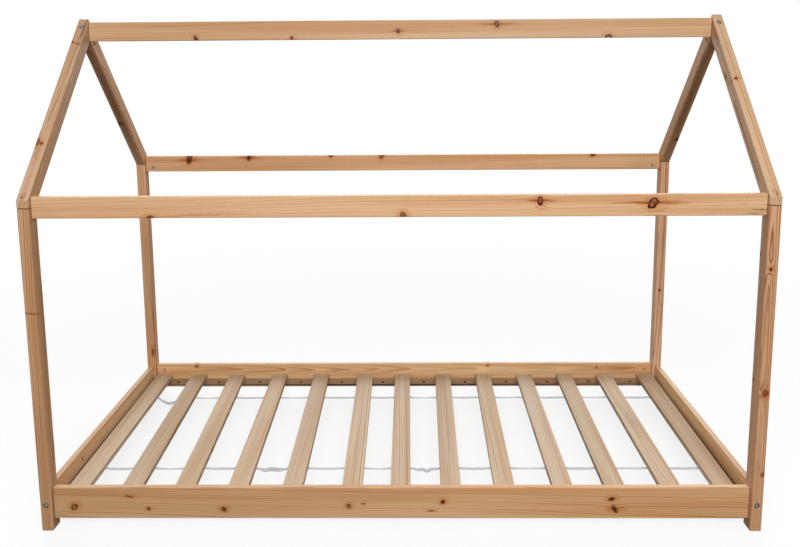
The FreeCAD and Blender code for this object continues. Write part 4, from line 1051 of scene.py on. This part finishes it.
@dataclass
class SlatRoll:
    """Thirteen loose slats held apart by two woven tapes that are stapled under them."""

    finish: Pine = SLAT_PINE
    pitch: float = 160.667
    width: float = 60.0
    underside: float = 66.0
    slides: tuple[float, ...] = (2, -8, -12, -7, -3, 13, -1, -6, -7, 1, -3, -2, -2)
    turns: tuple[float, ...] = (-0.4, -1.7, -2.0, -1.1, -0.7, -0.7, -0.3, 0.5, 0.6, 0.1, 0.5, 0.1,
                                0.4)
    tape_width: float = 12.0
    tape_thickness: float = 0.8
    tape_rows: dict[str, float] = field(default_factory=lambda: {"front": -256.5, "back": 272.5})
    sags: dict[str, tuple[float, ...]] = field(default_factory=lambda: {
        "front": (2, 2, 1.5, 6, 1.5, 2, 6, 1.5, 1, 1.5, 1, 1),
        "back": (22, 2, 1.5, 1.5, 1, 1, 1.5, 1, 1, 1.5, 1.5, 2)})
    crinkles: dict[tuple[str, int], float] = field(
        default_factory=lambda: {("front", 6): 2.6, ("front", 3): 1.0})
    stains: dict[str, tuple[Mark, ...]] = field(default_factory=lambda: {"slat_12": (
        Mark((800, 190, 84), (806, -60, 84), 9.0, 0.4, (120, 112, 92)),
        Mark((793, 120, 84), (800, -120, 84), 5.0, 0.45, (112, 104, 86)))})
    twists: dict[str, tuple[float, ...]] = field(default_factory=lambda: {
        "front": (5, -12, 8, 78, 6, -8, 35, 10, -6, 12, -5, 8),
        "back": (30, -10, 6, -8, 9, 5, -12, 8, -6, 10, -8, 6)})
    staple_crown: float = 9.0
    staple_leg: float = 6.0
    staple_wire: float = 0.9

    def slat_names(self) -> list[str]:
        """Gives the names of the slats in order."""
        return ["slat_%02d" % (index + 1) for index in range(len(self.slides))]

    def dress_slats(self) -> None:
        """Dresses the slats, each from another stretch of wood."""
        for index, name in enumerate(self.slat_names()):
            across = math.copysign(78.0 + 22.0 * math.cos(1.9 * index), math.sin(2.4 * index + 0.6))
            depth = -24.0 - 22.0 * math.cos(1.7 * index)
            shade = 0.9 + 0.05 * math.sin(4.1 * index + 1.0)
            self.finish.dress(name, Grain.ALONG_Y_FLAT, (across, depth), 11.0 + 1.7 * index,
                              marks=self.stains.get(name, ()),
                              tint=(shade, shade, shade * (1.0 + 0.03 * math.sin(2.3 * index))))

    def middle_at(self, index: int, row: float) -> float:
        """Gives where a slat's middle line crosses a row.

        Args:
            index: Which slat, from 0.
            row: The row's Y in millimetres.

        Returns:
            X in millimetres.
        """
        middle = self.pitch * (index - (len(self.slides) - 1) / 2) + self.slides[index]
        return middle + row * math.sin(math.radians(self.turns[index]))

    def tape_line(self, side: str) -> tuple[list[Triple], list[float]]:
        """Works out the middle line of a tape and how it turns about it.

        Args:
            side: Which tape, front or back.

        Returns:
            The points in millimetres, and the turn at each in radians.
        """
        row = self.tape_rows[side]
        height = self.underside - self.tape_thickness / 2
        half = self.width / 2
        points: list[Triple] = []
        turns: list[float] = []
        for index in range(len(self.slides)):
            middle = self.middle_at(index, row)
            for share in (-1.0, -0.5, 0.0, 0.5, 1.0):
                points.append((middle + share * (half - 1.0), row, height))
                turns.append(0.0)
            if index == len(self.slides) - 1:
                break
            start, end = middle + half, self.middle_at(index + 1, row) - half
            sag = self.sags[side][index]
            twist = math.radians(self.twists[side][index])
            crinkle = self.crinkles.get((side, index), 0.0)
            steps = 20
            for step in range(1, steps):
                share = step / steps
                bow = math.sin(math.pi * share) ** 2
                ripple = math.sin(math.tau * share * 1.5 + index) * bow * abs(twist)
                wave = crinkle * math.sin(math.tau * share * 3.0) * math.sin(math.pi * share)
                points.append((start + (end - start) * share, row + 2.0 * ripple,
                               height - sag * 4 * share * (1 - share) + 1.2 * ripple + wave))
                turns.append(twist * bow)
        return points, turns

    def tape_tree(self) -> bpy.types.NodeTree:
        """Makes the tree that lays a flat woven tape along a line.

        Returns:
            The tree.
        """
        tree, bench = new_row_tree("woven_tape_run", ("Width", "Thickness"))
        given = bench.add("NodeGroupInput").outputs
        curve = bench.put("GeometryNodeMeshToCurve", {"Mesh": given["Guide"]}).outputs[0]
        twist = bench.put("GeometryNodeInputNamedAttribute", {"Name": "twist"}, data_type="FLOAT")
        curve = bench.put("GeometryNodeSetCurveTilt", {
            "Curve": curve, "Tilt": twist.outputs["Attribute"]}).outputs[0]
        run = bench.add("GeometryNodeCaptureAttribute", domain="POINT")
        run.capture_items.new("FLOAT", "Run")
        bench.feed(run.inputs["Geometry"], curve)
        bench.feed(run.inputs["Run"], bench.add("GeometryNodeSplineParameter").outputs["Length"])
        outline = bench.put("GeometryNodeCurvePrimitiveQuadrilateral", {
            "Width": given["Width"], "Height": given["Thickness"]}).outputs[0]
        outline = bench.put("GeometryNodeFilletCurve", {
            "Curve": outline, "Radius": bench.math("MULTIPLY", given["Thickness"], 0.45),
            "Count": 3}, mode="POLY").outputs[0]
        round_it = bench.add("GeometryNodeCaptureAttribute", domain="POINT")
        round_it.capture_items.new("FLOAT", "Round")
        bench.feed(round_it.inputs["Geometry"], outline)
        bench.feed(round_it.inputs["Round"],
                   bench.add("GeometryNodeSplineParameter").outputs["Length"])
        swept = bench.put("GeometryNodeCurveToMesh", {
            "Curve": run.outputs["Geometry"], "Profile Curve": round_it.outputs["Geometry"],
            "Fill Caps": True}).outputs[0]
        laid = bench.put("ShaderNodeCombineXYZ", {
            "X": run.outputs["Run"], "Y": round_it.outputs["Round"]}).outputs[0]
        stored = bench.put("GeometryNodeStoreNamedAttribute", {
            "Geometry": swept, "Name": "weave", "Value": laid},
            data_type="FLOAT_VECTOR", domain="POINT").outputs[0]
        finish_tree(bench, stored, given["Finish"])
        return tree

    def lay_tapes(self) -> None:
        cloth = WovenTape().material(self.tape_width)
        tree = self.tape_tree()
        for side in self.tape_rows:
            points, turns = self.tape_line(side)
            guide = marked_points("tape_" + side, points, "twist", turns, joined=True)
            tape = grow(guide, tree, {"Width": self.tape_width * MM,
                                      "Thickness": self.tape_thickness * MM, "Finish": cloth})
            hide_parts("slat_tape_" + side)
            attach(tape, "slat_roll")

    def staple_tree(self) -> bpy.types.NodeTree:
        """Makes the tree that bends wire staples and sets them in a row.

        Returns:
            The tree.
        """
        tree, bench = new_row_tree("wire_staples", ("Crown", "Leg", "Wire"))
        given = bench.add("NodeGroupInput").outputs
        line = bench.add("GeometryNodeCurvePrimitiveLine").outputs[0]
        line = bench.put("GeometryNodeResampleCurve", {"Curve": line, "Count": 4}).outputs[0]
        index = bench.add("GeometryNodeInputIndex").outputs[0]
        from_middle = bench.math("SUBTRACT", index, 1.5)
        span = bench.math("SUBTRACT", given["Crown"], given["Wire"])
        side = bench.math("MULTIPLY", bench.math("SIGN", from_middle), bench.math("DIVIDE", span, 2.0))
        tip = bench.math("GREATER_THAN", bench.math("ABSOLUTE", from_middle), 1.0)
        height = bench.math("MULTIPLY", tip, given["Leg"])
        corner = bench.put("ShaderNodeCombineXYZ", {"X": side, "Z": height}).outputs[0]
        line = bench.put("GeometryNodeSetPosition", {"Geometry": line, "Position": corner}).outputs[0]
        line = bench.put("GeometryNodeFilletCurve", {
            "Curve": line, "Radius": given["Wire"], "Count": 4}, mode="POLY").outputs[0]
        wire = bench.put("GeometryNodeCurvePrimitiveCircle", {
            "Resolution": 8, "Radius": bench.math("DIVIDE", given["Wire"], 2.0)}).outputs[0]
        bent = bench.put("GeometryNodeCurveToMesh", {
            "Curve": line, "Profile Curve": wire, "Fill Caps": True}).outputs[0]
        finish_tree(bench, stand_on_points(bench, given["Guide"], bent), given["Finish"])
        return tree

    def drive_staples(self, wire: bpy.types.Material) -> None:
        """Drives a staple through each tape into each slat.

        Args:
            wire: Their material.
        """
        height = self.underside - self.tape_thickness - self.staple_wire / 2
        points: list[Triple] = []
        angles: list[float] = []
        for row in self.tape_rows.values():
            for index, turned in enumerate(self.turns):
                points.append((self.middle_at(index, row), row, height))
                angles.append(-math.radians(turned))
        guide = marked_points("staple_row", points, "angle", angles)
        row = grow(guide, self.staple_tree(), {
            "Crown": self.staple_crown * MM, "Leg": self.staple_leg * MM,
            "Wire": self.staple_wire * MM, "Finish": wire})
        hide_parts("slat_staples")
        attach(row, "slat_roll")
        log.info("%s holds %d staples", row.name, len(points))


@dataclass
class Hardware:
    """The bolts, barrel nuts, dowels and screws of the joints."""

    bolt_steel: PlatedSteel = PlatedSteel("zinc_bolt", (232, 232, 228), (204, 203, 198), 0.38)
    nut_steel: PlatedSteel = PlatedSteel("zinc_nut", (226, 224, 218), (186, 183, 176), 0.36)
    screw_steel: PlatedSteel = PlatedSteel("dark_screw", (74, 66, 58), (50, 44, 40), 0.5)
    wire_steel: PlatedSteel = PlatedSteel("staple_wire", (190, 190, 190), (150, 150, 150), 0.4)
    head_radius: float = 7.7
    apex_middle: Triple = (1013.5, 24.0, 1446.5)
    bolt_ways: dict[str, Triple] = field(default_factory=lambda: {
        "side_board_bolts": (1.0, 0.0, 0.0), "eave_board_bolts": (1.0, 0.0, 0.0),
        "ridge_bolts": (1.0, 0.0, 0.0), "end_board_bolts": (0.0, 1.0, 0.0),
        "apex_bolts": (0.0, 0.718, 0.696)})

    def dress(self) -> None:
        """Dresses the metal nodes and the dowels."""
        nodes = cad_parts
        nut, screw = self.nut_steel.material(), self.screw_steel.material()
        for name, way in self.bolt_ways.items():
            radius = self.head_radius * MM
            middle = Vector(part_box(name)[1]) - Vector((radius, radius, radius))
            if name == "apex_bolts":
                middle = in_metres(self.apex_middle)
            # Each bolt head gets a ring of painted shade round its middle.
            bolt = self.bolt_steel.material("_" + name, middle, way)
            nodes[name].material_slots[0].material = bolt
            log.info("%s dressed in %s", name, self.bolt_steel.name)
        for name in sorted(nodes):
            if name.endswith("_nuts"):
                nodes[name].material_slots[0].material = nut
                log.info("%s dressed in %s", name, self.nut_steel.name)
            elif name == "rafter_foot_screws":
                nodes[name].material_slots[0].material = screw
                log.info("%s dressed in %s", name, self.screw_steel.name)
            elif name.endswith("_dowels"):
                DOWEL_BEECH.dress(name, Grain.ALONG_X, (3.0, 40.0), 21.0 + len(name))


# ---------------------------------------------------------------------------------------------
# Studio
# ---------------------------------------------------------------------------------------------
@dataclass
class PhotoCamera:
    """The camera, where the photograph's own corners put it."""

    place: Triple = (0.0444, -2.5772, 1.3293)
    pan: float = 0.0130
    tilt: float = -0.1485
    roll: float = 0.0070
    lens: float = 35.52
    sensor: float = 36.0
    shift: tuple[float, float] = (-0.0040, -0.1169)

    def build(self) -> None:
        """Makes the camera and gives it to the scene."""
        data = bpy.data.cameras.new("photo_camera")
        data.sensor_fit = "HORIZONTAL"
        data.sensor_width = self.sensor
        data.lens = self.lens
        data.shift_x, data.shift_y = self.shift
        data.clip_start, data.clip_end = 0.05, 60.0
        camera = bpy.data.objects.new("photo_camera", data)
        turn = (Matrix.Rotation(self.pan, 4, "Z") @ Matrix.Rotation(self.tilt, 4, "X")
                @ Matrix.Rotation(self.roll, 4, "Y") @ Matrix.Rotation(math.pi / 2, 4, "X"))
        camera.matrix_world = Matrix.Translation(self.place) @ turn
        bpy.context.scene.collection.objects.link(camera)
        bpy.context.scene.camera = camera


@dataclass(frozen=True)
class SoftBox:
    """A large soft lamp."""

    name: str
    place: Triple
    aim: Triple
    size: tuple[float, float]
    power: float


@dataclass
class Studio:
    """A pale floor that fades into a white room, and large soft lamps."""

    floor_size: float = 16.0
    floor_fade: tuple[float, float] = (1.3, 3.6)
    floor_cover: float = 0.2
    from_below: float = 0.02
    from_above: float = 0.42
    from_behind: float = 3.4
    boxes: tuple[SoftBox, ...] = (
        SoftBox("front", (0.2, -3.7, 2.7), (0.0, -0.4, 0.7), (3.0, 1.6), 150.0),
    )

    def build_floor(self) -> None:
        """Lays the floor."""
        half = self.floor_size / 2
        mesh = bpy.data.meshes.new("floor")
        mesh.from_pydata([(-half, -half, 0), (half, -half, 0), (half, half, 0), (-half, half, 0)],
                         [], [(0, 1, 2, 3)])
        floor = bpy.data.objects.new("floor", mesh)
        bpy.context.scene.collection.objects.link(floor)
        material, bench, shader = new_material("pale_floor")
        shader.inputs["Base Color"].default_value = (0.97, 0.97, 0.97, 1.0)
        shader.inputs["Roughness"].default_value = 0.75
        place = bench.add("ShaderNodeTexCoord").outputs["Object"]
        away = bench.vector("LENGTH", place).outputs["Value"]
        bench.feed(shader.inputs["Alpha"],
                   bench.span(away, *self.floor_fade, self.floor_cover, 0.0))
        floor.data.materials.append(material)

    def build_lamps(self) -> None:
        """Hangs the lamps and lights the room."""
        for box in self.boxes:
            data = bpy.data.lights.new(box.name, "AREA")
            data.shape = "RECTANGLE"
            data.size, data.size_y = box.size
            data.energy = box.power
            lamp = bpy.data.objects.new(box.name, data)
            way = Vector(box.aim) - Vector(box.place)
            lamp.matrix_world = (Matrix.Translation(box.place)
                                 @ way.to_track_quat("-Z", "Y").to_matrix().to_4x4())
            bpy.context.scene.collection.objects.link(lamp)
        world = bpy.data.worlds.new("white_room")
        world.use_nodes = True
        world.node_tree.nodes.clear()
        bench = Bench(world.node_tree)
        way = bench.add("ShaderNodeTexCoord").outputs["Generated"]
        parts = bench.put("ShaderNodeSeparateXYZ", {"Vector": way}).outputs
        low = bench.math("MULTIPLY", bench.span(parts["Z"], 0.0, 0.15),
                         bench.span(parts["Z"], 0.5, 0.75, 1.0, 0.0))
        glow = bench.math("MULTIPLY", bench.span(parts["Y"], 0.45, 0.95, 0.0, self.from_behind), low)
        sky = bench.span(parts["Z"], -0.15, 0.5, self.from_below, self.from_above)
        lit = bench.put("ShaderNodeBackground", {"Color": (1, 1, 1, 1),
                                                 "Strength": bench.math("ADD", sky, glow)})
        seen = bench.put("ShaderNodeBackground", {"Color": (1, 1, 1, 1), "Strength": 1.0})
        mixed = bench.put("ShaderNodeMixShader", {
            0: bench.add("ShaderNodeLightPath").outputs["Is Camera Ray"],
            1: lit.outputs[0], 2: seen.outputs[0]})
        bench.feed(bench.add("ShaderNodeOutputWorld").inputs["Surface"], mixed.outputs[0])
        bpy.context.scene.world = world
        bpy.context.scene.view_settings.view_transform = "Standard"


def main() -> None:
    """Builds and dresses the bed in order, and reports each piece."""
    logging.basicConfig(level=logging.INFO, format="%(message)s")
    PhotoCamera().build()
    log.info("camera placed")
    studio = Studio()
    studio.build_floor()
    studio.build_lamps()
    log.info("studio lit")
    house = HouseFrame()
    house.dress_posts()
    house.dress_rafters()
    house.dress_boards()
    log.info("house frame dressed")
    hardware = Hardware()
    hardware.dress()
    log.info("hardware dressed")
    base = BedBase()
    base.dress_boards()
    base.dress_battens()
    base.drive_screws(hardware.screw_steel.material())
    log.info("bed base dressed and batten screws driven")
    roll = SlatRoll()
    roll.dress_slats()
    roll.lay_tapes()
    roll.drive_staples(hardware.wire_steel.material())
    log.info("slat roll dressed, taped and stapled")


if __name__ == "__main__":
    main()
